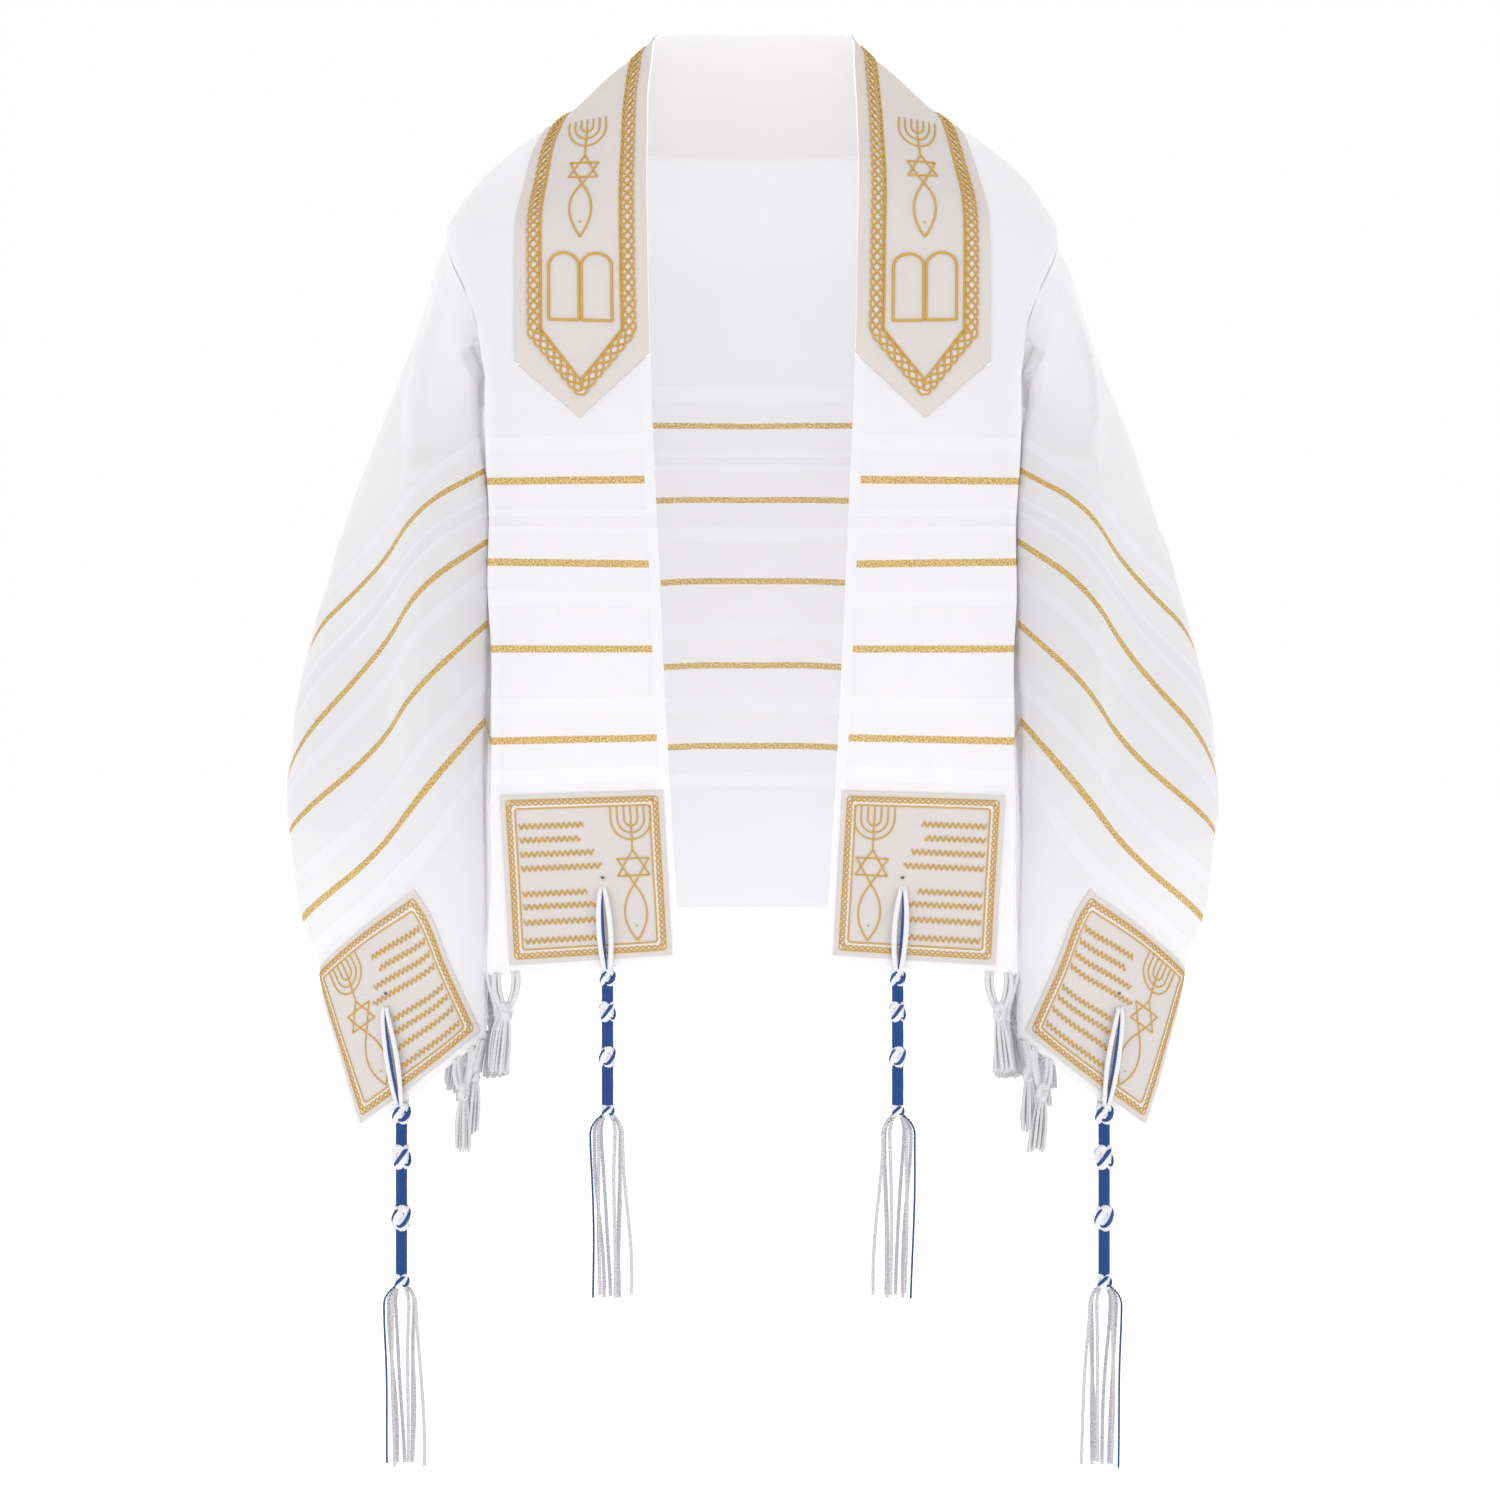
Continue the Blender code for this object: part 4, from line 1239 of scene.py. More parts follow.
@dataclass
class Neckband:
    """The cream band round the neck and down both fronts, each end coming to a point.

    The border's lines hold places along and across. A braid is its swing and its period. Tablets
    are their top, the spring of their arch, their bottom, half their width and half their seam.
    Middle and skew say where the column's middle lies and how it slants, by the place along.
    """

    surface: Surface
    shoulder: float = 0.427
    tip: float = 0.475
    near: float = 0.0006
    far: float = 0.110
    tip_across: float = 0.059
    under: float = 0.0009
    wall: float = 0.0009
    columns: int = 34
    cord_radius: float = 0.0009
    braid_radius: float = 0.0009
    ribbon_half: float = 0.0052
    taper_rows: int = 14
    point_share: float = 0.995
    border: Table = (
        (0.0, 0.0165), (0.409, 0.0165), (0.4535, 0.0575), (0.404, 0.0945), (0.0, 0.0945),
    )
    border_inside: Table = (
        (0.0, 0.0228), (0.4065, 0.0228), (0.4455, 0.0573), (0.4015, 0.0885), (0.0, 0.0885),
    )
    border_steps: Row = (0.0013, 0.003)
    strands: int = 4
    braid: Row = (0.0050, 0.036)
    frame_radius: float = 0.001215
    arch_points: int = 30
    tablets: Row = (0.3395, 0.3510, 0.3965, 0.0125, 0.0010)
    middle: Table = (
        (0.18, 0.0597), (0.202, 0.0567), (0.229, 0.0561), (0.267, 0.0555), (0.40, 0.0563),
    )
    skew: Table = ((0.17, -0.36), (0.20, -0.42), (0.26, -0.37), (0.30, -0.22), (0.35, -0.11))
    figures_top: float = 0.184
    figures: Figures = Figures(0.0190, 0.0095, 0.0255, 0.046, 0.083, 0.0131, 0.141, 0.0092, 0.127)

    def build(self) -> list[bpy.types.Object]:
        """Makes the band and its embroidery.

        Returns:
            The two pieces.
        """
        inner = self.surface.along[np.abs(self.surface.along) < self.shoulder]
        taper = np.linspace(self.shoulder, self.tip, self.taper_rows)
        along = np.concatenate([-taper[::-1], inner, taper])
        share = (np.abs(along) - self.shoulder) / (self.tip - self.shoulder)
        share = np.clip(share, 0, self.point_share)[:, None]
        low = self.near + share * (self.tip_across - self.near)
        high = self.far + share * (self.tip_across - self.far)
        across = low + (high - low) * np.linspace(0, 1, self.columns)
        along = np.broadcast_to(along[:, None], across.shape)
        parts = self.surface.laid_wall(along, across, self.under, self.wall)
        twill = TwillFinish().build("neckband twill")
        return [parts.build("neckband_twill", [twill], "trim_twill", "neckband"), self.embroidery()]

    def on_band(self, line: Array, top: float) -> Array:
        """Lays a flat figure of (side, down) points on the band, slanted as the shoulder slants it.

        Args:
            line: The figure's line.
            top: How far along the cloth its top lies.

        Returns:
            The line as (along, across) points.
        """
        side, down = line[:, 0], line[:, 1] + top
        skew, middle = (np.interp(down, *np.array(table).T) for table in (self.skew, self.middle))
        return np.stack([down + skew * side, side + middle], axis=1)

    def embroidery(self) -> bpy.types.Object:
        """Makes the braided border, the column of figures and the two tablets, in gold thread.

        Returns:
            The piece.
        """
        parts = MeshParts()
        lines = (self.border, self.border_inside)
        border, inside = (even_line(line, step) for line, step in zip(lines, self.border_steps))
        for side in Half:
            sewing = Sewing(self.surface, side, self.under + self.wall, parts)
            sewing.ribbon(border, self.ribbon_half)
            sewing.braid(border, self.strands, *self.braid, self.braid_radius)
            sewing.cord(inside, self.braid_radius)
            for line in self.figures.lines():
                sewing.cord(self.on_band(line, self.figures_top), self.cord_radius)
            for way in (-1.0, 1.0):
                sewing.cord(self.on_band(self.tablet(way), 0.0), self.frame_radius)
        return parts.build("neckband_embroidery", sewing_threads("of the neckband"), "trim_twill")

    def tablet(self, way: float) -> Array:
        """Frame of the tablet on one side: a box under an arch, top + rise * (1 - sin(a)).

        Args:
            way: -1 or 1, the side of the column's middle.

        Returns:
            The line, whose end meets its start, as (side, down) points.
        """
        top, spring, bottom, half, seam = self.tablets
        turn = np.linspace(math.pi, 0.0, self.arch_points)
        middle = way * (half + seam)
        down = top + (spring - top) * (1 - np.sin(turn))
        arch = np.stack([middle + half * np.cos(turn), down], axis=1)
        left, right = (middle - half, bottom), (middle + half, bottom)
        return even_line([left, *arch, right, left])


@dataclass
class CornerPatch:
    """A cream patch in a corner, with a braided border, the column of figures and rows of waves.

    A border line is its inset and half its width, the ribbon the same, and the braid is its inset,
    its swing, its period and half its width. A wave is its height and its length.
    """

    surface: Surface
    half: Half
    corner: Corner
    top: float = 0.773
    bottom: float = 0.908
    inset: float = 0.006
    side: float = 0.132
    cloth_width: float = CLOTH_WIDTH
    under: float = 0.0008
    wall: float = 0.0008
    cells: int = 40
    cord_radius: float = 0.0007
    border_lines: Table = ((0.0045, 0.0005), (0.0113, 0.0007))
    border_ribbon: Row = (0.0080, 0.0038)
    border_braid: Row = (0.0070, 0.0016, 0.0095, 0.00062)
    border_strands: int = 2
    corner_cut: float = 0.0015
    rows_down: Row = (0.0255, 0.0365, 0.0480, 0.0593, 0.0797, 0.0900, 0.1024, 0.1170)
    rows_end: Row = (0.0660, 0.0690, 0.0585, 0.0530, 0.0660, 0.0595, 0.0560, 0.0560)
    rows_start: float = 0.119
    wave: Row = (0.0021, 0.0046)
    wave_step: float = 0.0005
    figures_side: Row = (0.0272, 0.037)
    figures_top: float = 0.0115
    figures: Figures = Figures(0.0163, 0.0110, 0.0165, 0.036, 0.064, 0.0130, 0.110, 0.0089, 0.098)

    def flat(self, line: Array) -> Array:
        """Turns points on the patch into points on the cloth.

        Args:
            line: Points as side and down.

        Returns:
            The points as along and across.
        """
        across = line[..., 0] + self.inset
        if self.corner is Corner.OUTER:
            across = self.cloth_width - across
        return np.stack([line[..., 1] + self.top, across], axis=-1)

    def build(self) -> list[bpy.types.Object]:
        """Makes the patch and its embroidery.

        Returns:
            The two pieces.
        """
        t = np.linspace(0.0, 1.0, self.cells + 1)
        side, down = np.meshgrid(t * self.side, t * (self.bottom - self.top))
        grid = self.flat(np.stack([side, down], axis=-1))
        if self.half is Half.RIGHT:
            grid = grid[::-1]
        if self.corner is Corner.OUTER:
            grid = grid[:, ::-1]
        along, across = grid[..., 0] * self.half.value, grid[..., 1]
        parts = self.surface.laid_wall(along, across, self.under, self.wall)
        name = corner_name(self.corner, self.half)
        twill = TwillFinish().build(f"patch twill {name}")
        patch = parts.build(f"patch_{name}", [twill], "trim_twill", f"corner_patch_{name}")
        return [patch, self.embroidery(f"patch_embroidery_{name}")]

    def embroidery(self, name: str) -> bpy.types.Object:
        """Makes the border, the column of figures and the rows of waves, in gold thread.

        Args:
            name: Name of the piece.

        Returns:
            The piece.
        """
        parts = MeshParts()
        sewing = Sewing(self.surface, self.half, self.under + self.wall, parts)
        for inset, radius in self.border_lines:
            sewing.cord(self.frame_line(inset), radius)
        middle, half = self.border_ribbon
        sewing.ribbon(self.frame_line(middle), half)
        middle, *braid = self.border_braid
        sewing.braid(self.frame_line(middle), self.border_strands, *braid)
        top_middle = (self.figures_side[self.corner.value], self.figures_top)
        for line in self.figures.lines():
            sewing.cord(self.flat(line + top_middle), self.cord_radius)
        for down, end in zip(self.rows_down, self.rows_end):
            side = np.arange(end, self.rows_start, self.wave_step)
            wave = down + self.wave[0] * np.sin(2 * math.pi * side / self.wave[1])
            sewing.cord(self.flat(np.stack([side, wave], axis=1)), self.cord_radius)
        return parts.build(name, sewing_threads(name), "trim_twill")

    def frame_line(self, inset: float) -> Array:
        """A frame inside the patch's edge, its corners cut, as (along, across) points.

        Args:
            inset: Its distance from the edge.

        Returns:
            The line, whose end meets its start.
        """
        low, cut = inset, self.corner_cut
        right, deep = self.side - inset, self.bottom - self.top - inset
        corners = [(low + cut, low), (right - cut, low), (right, low + cut), (right, deep - cut)]
        corners += [(right - cut, deep), (low + cut, deep), (low, deep - cut), (low, low + cut)]
        return self.flat(even_line([*corners, corners[0]]))


# ---- Fringe and corner tassels -----------------------------------------------------------------


def smooth_path(points: Array, steps: int) -> Array:
    """A path rounded three times by corner cutting, P -> 3/4 P + 1/4 Q, then read at even steps.

    Args:
        points: The path's corners.
        steps: Number of points to read.

    Returns:
        The rounded path.
    """
    for _ in range(3):
        low, high = points[:-1] * 0.75 + points[1:] * 0.25, points[:-1] * 0.25 + points[1:] * 0.75
        cut = np.stack([low, high], axis=1).reshape(-1, 3)
        points = np.concatenate([points[:1], cut, points[-1:]])
    return evenly(points, steps)


@dataclass(frozen=True)
class Winding:
    """A cord wound round a knot: x = r cos(a), y = r sin(a), z = height / 2 sin(b).

    There r = radius (1 + swell cos(b)), and b turns 3 times while a turns twice.
    """

    points: int
    round: int = 2
    up_and_down: int = 3
    swell: float = 0.28

    def path(self, centre: Array, radius: float, height: float, turn: float) -> Array:
        """The cord's path.

        Args:
            centre: The knot's middle.
            radius: Middle radius of the winding.
            height: Height of the winding.
            turn: Where it starts, as an angle.

        Returns:
            One path, whose end meets its start.
        """
        a = np.linspace(0.0, 2 * math.pi * self.round, self.points)
        b = a * self.up_and_down / self.round
        r = radius * (1 + self.swell * np.cos(b))
        x, y = r * np.cos(a + turn), r * np.sin(a + turn)
        return centre + np.stack([x, y, height / 2 * np.sin(b)], axis=1)


@dataclass
class Fringe:
    """The row of knotted tassels along one short end: each two bundles, a knot and a skirt.

    A knot is its radius, its height and half its cord's width. A skirt is its length, its radius
    and half a yarn's width. Its mouth is how far down and how far out the yarns start, and its
    belly is the share of the length and of the lean where they bend. A bundle is how far its cords
    are spread at the hem, at the bend and at the knot, as shares of the spread at the root.
    """

    surface: Surface
    half: Half
    start: float = 0.128
    stop: float = 0.676
    hem_points: int = 600
    tassels: int = 20
    spread: float = 0.008
    drop: float = 0.030
    facing: float = 0.6
    set_back: Row = (-0.009, 0.002)
    root_cords: int = 3
    root_radius: float = 0.0020
    root_spread: Row = (0.0022, 0.0016)
    root_depth: Row = (0.001, 0.002)
    root_bulge: float = 0.0065
    bundle: Row = (1.0, 1.6, 0.5)
    root_points: int = 10
    winding: Winding = Winding(56)
    knot: Row = (0.0025, 0.0115, 0.0026)
    skirt: Row = (0.0500, 0.0082, 0.0012)
    yarns: int = 15
    yarn_points: int = 9
    yarn_sides: int = 5
    rounds: float = 2.0
    stray: float = 0.3
    inmost: float = 0.15
    mouth: Row = (0.005, 0.0026)
    belly: Row = (0.35, 0.3)
    belly_width: Row = (0.7, 1.1)
    tip_depth: Row = (0.90, 1.0)
    tip_width: Row = (0.75, 1.0)
    tilt: float = 0.0045
    seed: int = 7
    parts: MeshParts = field(default_factory=MeshParts)

    def build(self) -> list[bpy.types.Object]:
        """Makes the tassels.

        Returns:
            The piece, alone in a list.
        """
        rng = np.random.default_rng([self.seed, self.half is Half.LEFT])
        end = self.half.value * self.surface.along[-1]
        fine = np.linspace(self.start, self.stop, self.hem_points)
        reach = reach_of(self.surface.place(np.full(fine.shape, end), fine))
        wanted = (np.arange(self.tassels) + 0.5) * reach[-1] / self.tassels

        def at(offset: float) -> Array:
            """Places on the hem, each this far past the middle of its tassel."""
            across = np.interp(wanted + offset, reach, fine)
            return self.surface.place(np.full(across.shape, end), across)

        across = np.interp(wanted, reach, fine)
        normal = self.surface.normal(np.full(across.shape, end), across)
        in_pleat = np.abs(normal[:, 1]) < self.facing
        middle = at(0.0)
        knot = middle + normal * np.where(in_pleat, *self.set_back)[:, None] + DOWN * self.drop
        for way in (-1.0, 1.0):
            self.add_bundle(at(way * self.spread), middle, knot, normal, way)
        radius, height, thick = self.knot
        for centre in knot:
            path = self.winding.path(centre, radius, height, rng.uniform(0, 6))
            self.parts.cords(path, KNOT_UP, thick)
        self.add_skirt(knot, rng)
        side = self.half.name.lower()
        yarn = WHITE_YARN.build(f"fringe yarn {side}")
        return [self.parts.build(f"fringe_tassels_{side}", [yarn], "fringe_yarn", f"fringe_{side}")]

    def add_bundle(
        self, root: Array, middle: Array, knot: Array, normal: Array, way: float
    ) -> None:
        """Adds the cords that run from one side of each tassel's hem to its knot.

        Args:
            root: Where the bundles start.
            middle: The tassels' middles on the hem.
            knot: The knots' middles.
            normal: Outward directions there.
            way: -1 or 1, the side.
        """
        outer = unit(root - middle)
        wide, deep = self.root_spread
        lift, sink = self.root_depth
        at_root, at_bulge, at_knot = self.bundle
        for k in range(self.root_cords):
            turn = 2 * math.pi * k / self.root_cords + way
            off = outer * (math.cos(turn) * wide) + normal * (math.sin(turn) * deep)
            control = (root + knot) / 2 + outer * self.root_bulge + off * at_bulge
            start, end = root + off * at_root - DOWN * lift, knot + off * at_knot + DOWN * sink
            paths = bend(start, control, end, self.root_points)
            self.parts.cords(paths, normal[:, None], self.root_radius)

    def add_skirt(self, knot: Array, rng: np.random.Generator) -> None:
        """Adds the loose yarns under each knot, which open out to the skirt's radius.

        Args:
            knot: The knots' middles.
            rng: Where the yarns' small differences come from.
        """
        length, radius, thick = self.skirt
        count = len(knot) * self.yarns
        turn = np.linspace(0, 2 * math.pi, self.yarns, endpoint=False) * self.rounds
        turn = np.tile(turn, len(knot)) + rng.uniform(-self.stray, self.stray, count)
        share = np.sqrt(np.tile(np.linspace(self.inmost, 1.0, self.yarns), len(knot)))
        out = np.stack([np.cos(turn), np.sin(turn), 0 * turn], axis=1) * share[:, None]
        centre = np.repeat(knot, self.yarns, axis=0)
        lean = np.repeat(rng.uniform(-self.tilt, self.tilt, (len(knot), 1)), self.yarns, axis=0)
        lean = lean * np.array([1.0, 0.0, 0.0])
        deep, leant = self.belly
        start = centre + DOWN * self.mouth[0] + out * self.mouth[1]
        control = centre + DOWN * length * deep + lean * leant
        control = control + out * radius * rng.uniform(*self.belly_width, (count, 1))
        end = centre + DOWN * length * rng.uniform(*self.tip_depth, (count, 1)) + lean
        end = end + out * radius * rng.uniform(*self.tip_width, (count, 1))
        paths = bend(start, control, end, self.yarn_points)
        self.parts.cords(paths, YARN_UP, thick, sides=self.yarn_sides)


@dataclass
class CornerTassel:
    """A corner's ritual tassel: a flat loop through the eyelet, four knots, wraps, eight strands.

    Rows that differ by corner hold the front one's value first. An eyelet's row holds its distance
    from the hem, its place across and that of the cords at the hem. A knot's row holds the radius
    of its winding, half the width of its white cord, its height and half the width of its blue one.
    A strand is its length and half its width, and it leaves the knot at the upper place and hangs
    at the lower one. The core is the blue cord's least half width and how much it grows.
    """

    surface: Surface
    half: Half
    corner: Corner
    eyelets: Table = ((0.066, 0.059, 0.059), (0.0735, CLOTH_WIDTH - 0.069, CLOTH_WIDTH - 0.049))
    clear: float = 0.0062
    behind: float = 0.0045
    hem_clear: float = 0.006
    apex_rise: Row = (0.0035, 0.0095)
    apex_drop: float = 0.008
    low_share: float = 0.35
    high_share: float = 0.55
    loop_points: int = 48
    loop_roundness: float = 0.8
    loop_half: float = 0.0040
    loop_least: float = 0.0007
    loop_cord: float = 0.0022
    loop_cord_least: float = 0.75
    loop_flatness: float = 0.8
    core: Row = (0.0005, 0.0012)
    core_aside: float = 0.0020
    core_under: float = 0.0004
    core_flatness: float = 0.5
    # Painted shadow: the dark dot at the eyelet, its half width and half height, stands for the
    # shade in the eyelet's hole.
    dot: Row = (0.0014, 0.0008)
    shadow_dot_lift: float = 0.0020
    shadow_dot_rise: float = 0.0035
    knot_drop: float = 0.008
    knot_height: float = 0.011
    knots: Table = (
        (0.0028, 0.0031, 0.0092, 0.002), (0.0027, 0.0033, 0.012, 0.0016),
        (0.0027, 0.0033, 0.0127, 0.0015), (0.0021, 0.0028, 0.0066, 0.0015),
    )
    growth: Row = (1.0, 1.18)
    winding: Winding = Winding(90)
    knot_turn: float = 0.9
    blue_turn: float = 1.7
    blue_height: float = 0.9
    wraps: Table = ((0.0165, 0.0255, 0.0325), (0.0245, 0.0390, 0.0410))
    wrap_start: float = 0.4
    wrap_under: float = 0.2
    wrap_radius: float = 0.0042
    wrap_pitch: float = 0.0015
    wrap_cord: float = 0.56
    wrap_points: int = 14
    strand: Row = (0.150, 0.0018)
    strand_places: Table = (
        (-0.0138, -0.0112, -0.0077, -0.0057, 0.0065, 0.0101, 0.0121, 0.0108),
        (-0.0109, -0.0036, -0.0061, 0.002, 0.0053, 0.0093, 0.0198, 0.008),
    )
    strand_depths: Row = (-1.0, 0.6, -0.3, 1.0, -0.7, 0.9, -1.0, 0.3)
    strand_depth: float = 0.0055
    strand_start: float = 0.003
    strand_points: int = 70
    spread_share: float = 0.11
    wave_size: Row = (0.0004, 0.0011)
    wave_count: Row = (4, 8)
    strand_lengths: Row = (0.965, 1.0)
    twist: float = 110.0
    flute: float = 0.10
    seed: int = 3
    parts: MeshParts = field(default_factory=MeshParts)

    def frame(self) -> tuple[Array, Array, Array]:
        """Finds where the tassel hangs.

        Returns:
            The eyelet's place, the outward direction there, and where the cords pass the hem.
        """
        inset, across, hem_across = (np.array([x]) for x in self.eyelets[self.corner.value])
        end = self.surface.along[-1]
        along = self.half.value * (end - inset)
        hem = self.surface.place(np.array([self.half.value * end]), hem_across)
        return self.surface.place(along, across)[0], self.surface.normal(along, across)[0], hem[0]

    def build(self) -> list[bpy.types.Object]:
        """Makes the tassel.

        Returns:
            The piece, alone in a list.
        """
        eyelet, normal, hem = self.frame()
        centre = hem + DOWN * self.knot_drop
        self.add_loop(eyelet, normal, hem, centre)
        for k, wrap in enumerate((*self.wraps[self.corner.value], 0.0)):
            self.add_knot(centre, k)
            if wrap:
                top = centre + DOWN * self.knot_height * self.wrap_start
                self.add_wrap(top, wrap + self.knot_height * self.wrap_under)
                centre = centre + DOWN * (wrap + self.knot_height)
        self.add_strands(centre)
        name = corner_name(self.corner, self.half)
        threads = [WHITE_CORD.build(f"white cord {name}"), BLUE_CORD.build(f"blue cord {name}")]
        # The third material is the painted shadow of the eyelet's hole.
        threads.append(EYELET_SHADOW_PAINT.build(f"eyelet {name}"))
        return [self.parts.build(f"tassel_{name}", threads, "tzitzit_cord", f"tzitzit_{name}")]

    def loop_corners(self, knot: Array, hem: Array, face: Array, eyelet: Array) -> Array:
        """Corners of the loop's way from the first knot up one face of the cloth to the eyelet.

        Args:
            knot: Middle of the first knot.
            hem: Where the loop passes the hem.
            face: The loop's upper end on this face.
            eyelet: Middle of the eyelet.

        Returns:
            Five points.
        """
        low, high = self.low_share, self.high_share
        past_hem, on_face = knot * low + hem * (1 - low), hem * high + face * (1 - high)
        return np.array([knot, past_hem, on_face, face + DOWN * self.apex_drop, eyelet])

    def add_loop(self, eyelet: Array, normal: Array, hem: Array, knot: Array) -> None:
        """Adds the loop: white cords to both sides and a blue one between, out, in and down again.

        The side cords stand off by loop_half * sin(pi t)^0.8 over the length that shows.

        Args:
            eyelet: Middle of the eyelet.
            normal: Outward direction there.
            hem: Where the cords pass the hem.
            knot: Middle of the first knot.
        """
        side = unit(np.cross(normal, DOWN))
        rise_up = self.apex_rise[self.corner.value]
        outside = eyelet + normal * self.clear - DOWN * rise_up
        inside = eyelet - normal * self.behind
        hem_out, hem_in = hem + normal * self.clear, hem - normal * (self.behind + self.hem_clear)
        front = self.loop_corners(knot, hem_out, outside, eyelet)
        back = self.loop_corners(knot, hem_in, inside, eyelet)[::-1]
        t = np.linspace(0.0, 1.0, self.loop_points)[:, None]
        open_share = np.sin(math.pi * t) ** self.loop_roundness
        least = self.loop_cord_least
        for corners in (front, back):
            path = smooth_path(corners, self.loop_points)
            for way in (-1.0, 1.0):
                shown = path + side * way * (self.loop_least + self.loop_half * open_share)
                thick = self.loop_cord * (least + (1 - least) * open_share[:, 0])
                self.parts.cords(shown, normal, thick, thick * self.loop_flatness, 8)
            aside = side * (self.half.value * self.core_aside) * open_share
            core = path - normal * self.core_under - aside
            thick = self.core[0] + self.core[1] * open_share[:, 0]
            self.parts.cords(core, normal, thick, thick * self.core_flatness, 8, shade=1)
        # Painted shadow: a small dark dome over the eyelet stands in for the shaded hole, which the
        # cloth does not have.
        radius, rise = self.dot
        top = eyelet + normal * (self.shadow_dot_lift + rise) - DOWN * (rise_up + self.shadow_dot_rise)
        dot = top + DOWN * np.array([-1.0, 0.0, 1.0])[:, None] * rise
        self.parts.cords(dot, normal, radius, rise, 10, shade=2)

    def add_knot(self, centre: Array, index: int) -> None:
        """Adds a knot: white cord and blue cord wound into each other.

        Args:
            centre: The knot's middle.
            index: Number of the knot, which turns it.
        """
        growth = self.growth[self.corner.value]
        radius, cord, height, thread = (size * growth for size in self.knots[index])
        turn = self.knot_turn * index
        white = self.winding.path(centre, radius, height, turn)
        over = radius + cord - thread
        blue = self.winding.path(centre, over, height * self.blue_height, turn + self.blue_turn)
        self.parts.cords(white, KNOT_UP, cord, sides=10)
        self.parts.cords(blue, KNOT_UP, thread, sides=8, shade=1)

    def add_wrap(self, top: Array, length: float) -> None:
        """Adds blue cord wound round the tassel: x = r cos(a), y = r sin(a), z = -pitch a / 2 pi.

        Args:
            top: Upper end of the wrap.
            length: Length of the wrap.
        """
        turns = length / self.wrap_pitch
        a = np.linspace(0.0, 2 * math.pi * turns, int(turns * self.wrap_points))
        ring = np.stack([np.cos(a), np.sin(a), 0 * a], axis=1) * self.wrap_radius
        path = top + ring + DOWN * (a * self.wrap_pitch / (2 * math.pi))[:, None]
        self.parts.cords(path, -DOWN, self.wrap_pitch * self.wrap_cord, sides=5, shade=1)
        core = top + DOWN * np.linspace(0.0, length, 5)[:, None]
        self.parts.cords(core, BACKWARD, self.wrap_radius, sides=12, shade=1)

    def add_strands(self, knot: Array) -> None:
        """Adds eight twisted strands that leave the last knot to both sides and hang down.

        Args:
            knot: Middle of the last knot.
        """
        seeds = [self.seed, self.half is Half.LEFT, self.corner is Corner.FRONT]
        rng = np.random.default_rng(seeds)
        length, thick = self.strand
        upper, lower = (np.array(row)[:, None] * self.half.value for row in self.strand_places)

        def draw(least: float, most: float) -> Array:
            """A number for each strand, drawn evenly between two bounds."""
            return rng.uniform(least, most, upper.shape)

        t = np.linspace(0.0, 1.0, self.strand_points)
        out = np.sqrt(np.sin(np.clip(t / self.spread_share, 0, 1) * math.pi / 2))[None]
        wave = draw(*self.wave_size) * np.sin(t * draw(*self.wave_count) + draw(0, 6))
        x = (upper + (lower - upper) * smoothstep(t)) * out + wave * smoothstep(t * 3)
        depth = np.array(self.strand_depths)[:, None] * self.strand_depth * out
        drop = t[None] * (length * draw(*self.strand_lengths)) + self.strand_start
        paths = knot + np.stack([x, depth, -drop], axis=-1)
        for strands, size, shade in ((paths[1:], thick, 0), (paths[:1], thick / 2, 1)):
            self.parts.cords(strands, STRAND_UP, size, None, 9, self.twist, self.flute, shade)


# ---- The studio --------------------------------------------------------------------------------


@dataclass(frozen=True)
class Lamp:
    """A square area light: its name, place, the point that it faces, its side and its watts."""

    name: str
    place: Row
    aim: Row
    size: float
    power: float

    def build(self) -> None:
        """Hangs the lamp."""
        data = bpy.data.lights.new(self.name, "AREA")
        data.size, data.energy = self.size, self.power
        made = bpy.data.objects.new(self.name, data)
        made.location = self.place
        toward = Vector(self.aim) - Vector(self.place)
        made.rotation_euler = toward.to_track_quat("-Z", "Y").to_euler()
        bpy.context.scene.collection.objects.link(made)


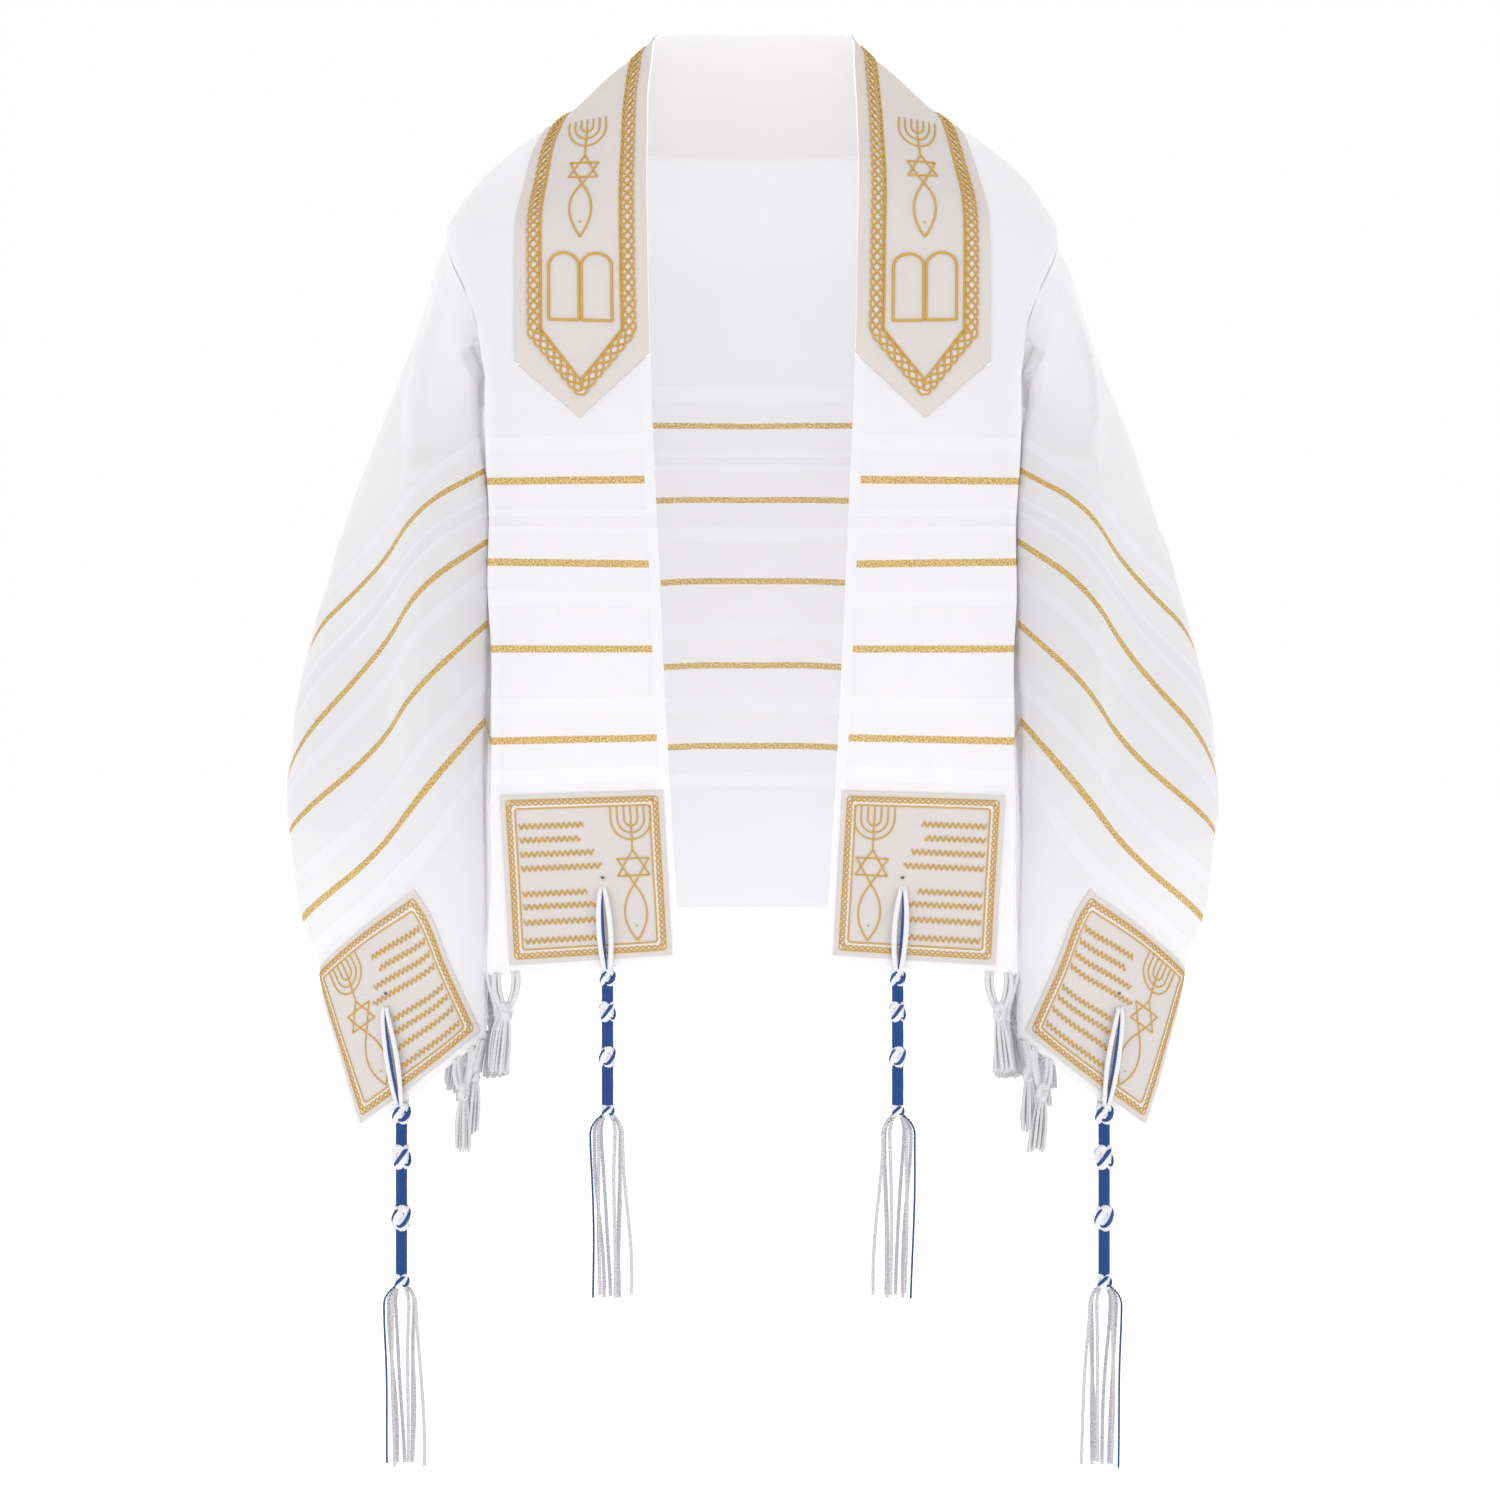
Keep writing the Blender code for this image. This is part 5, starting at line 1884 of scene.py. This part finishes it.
@dataclass
class Studio:
    """A pale flat floor under a white sky, a long lens straight ahead, wide soft lights."""

    eye: Row = (-0.0021, -3.12, -0.55)
    lens: float = 88.9
    sensor: float = 36.0
    floor: float = -1.30
    rings: Row = (0.0, 4.0, 60.0)
    spokes: int = 97
    paper: Color = (0.70, 0.70, 0.70)
    roughness: float = 0.9
    glow: float = 0.62
    sky: float = 1.0
    lamps: tuple[Lamp, ...] = (
        Lamp("front", (0.0, -7.5, -0.6), (0.0, 0.0, -0.5), 3.0, 6.0),
        Lamp("side", (-4.8, -4.8, -0.2), (-0.3, 0.0, -0.5), 3.0, 18.0),
        Lamp("side", (4.8, -4.8, -0.2), (0.3, 0.0, -0.5), 3.0, 18.0),
        Lamp("key", (-1.6, -2.2, 1.4), (0.0, 0.0, -0.5), 2.0, 3.0),
        Lamp("top", (0.0, -0.3, 2.6), (0.0, 0.0, -0.3), 1.6, 1.0),
    )

    def camera(self) -> None:
        """Makes the camera, which looks along +Y at the front of the shawl."""
        data = bpy.data.cameras.new("camera")
        data.sensor_width, data.lens = self.sensor, self.lens
        made = bpy.data.objects.new("camera", data)
        made.location = self.eye
        made.rotation_euler = (math.radians(90), 0.0, 0.0)
        bpy.context.scene.collection.objects.link(made)
        bpy.context.scene.camera = made

    def ground(self) -> None:
        """Makes the pale floor, a flat disc (r cos a, r sin a) whose middle is below the shawl."""
        around = np.linspace(0.0, 2 * math.pi, self.spokes)[:, None]
        r = np.array(self.rings)
        height = np.full((self.spokes, 3), self.floor)
        points = np.stack([r * np.cos(around), r * np.sin(around), height], axis=-1)
        parts = MeshParts()
        parts.add(points, grid_faces(self.spokes, len(r))[:, ::-1], points[..., :2])
        g = Graph("paper")
        g.dress(
            {
                "Base Color": self.paper,
                "Roughness": self.roughness,
                "Emission Color": WHITE,
                "Emission Strength": self.glow,
            }
        )
        parts.build("floor", [g.material])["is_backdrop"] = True

    def build(self) -> None:
        """Makes the whole studio."""
        self.camera()
        self.ground()
        for lamp in self.lamps:
            lamp.build()
        world = bpy.data.worlds.new("world")
        world.use_nodes = True
        color, strength = world.node_tree.nodes["Background"].inputs[:2]
        color.default_value, strength.default_value = (1.0, 1.0, 1.0, 1.0), self.sky
        scene = bpy.context.scene
        scene.world = world
        scene.view_settings.view_transform = "Standard"


def write_size(solid_box: Box, visual_box: Box) -> None:
    """Args:
        solid_box: Lowest and highest corner of the CAD model.
        visual_box: Lowest and highest corner of the visual model.
    """
    boxes = {"cad": solid_box, "visual": visual_box}
    plain = {name: [[float(x) for x in corner] for corner in box] for name, box in boxes.items()}


def declare_sheets(cloth: bpy.types.Object, trims: list[bpy.types.Object]) -> None:
    """Takes the shawl's cloth and the pieces sewn or tied to it, and does nothing with them.

    Args:
        cloth: The shawl's cloth; not used.
        trims: Every piece that is sewn or tied to it.
    """
    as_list(trims)
    for piece in trims:
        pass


def main() -> None:
    """Builds the studio and the pieces, in order, and tells what each has."""
    logging.basicConfig(level=logging.INFO, format="%(name)s: %(message)s")
    solid_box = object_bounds()
    studio = Studio()
    studio.build()
    drape = Drape()
    surface = drape.surface(np.linspace(-drape.half_length, drape.half_length, 333))
    cloth = ClothFinish()
    # The pleat's fold takes stronger painted light: its emission brightens the shaded mouth of the
    # pleat.
    fold_cloth = ClothFinish(in_pleat=(0.46, 0.40, 0.50, 0.12))
    pieces = [Shawl(surface, cloth).build(), *Neckband(surface).build()]
    for half in Half:
        pieces.append(PleatFold(surface, fold_cloth, drape.mouth_lines).build(half))
        for corner in Corner:
            pieces += CornerPatch(surface, half, corner).build()
            pieces += CornerTassel(surface, half, corner).build()
        pieces += Fringe(surface, half).build()
    for piece in pieces:
        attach(piece, "root")
        faces = sum(len(p.vertices) - 2 for p in piece.data.polygons)
        log.info("%s: %d triangles", piece.name, faces)
    declare_sheets(pieces[0], pieces[1:])
    write_size(solid_box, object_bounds())


if __name__ == "__main__":
    main()
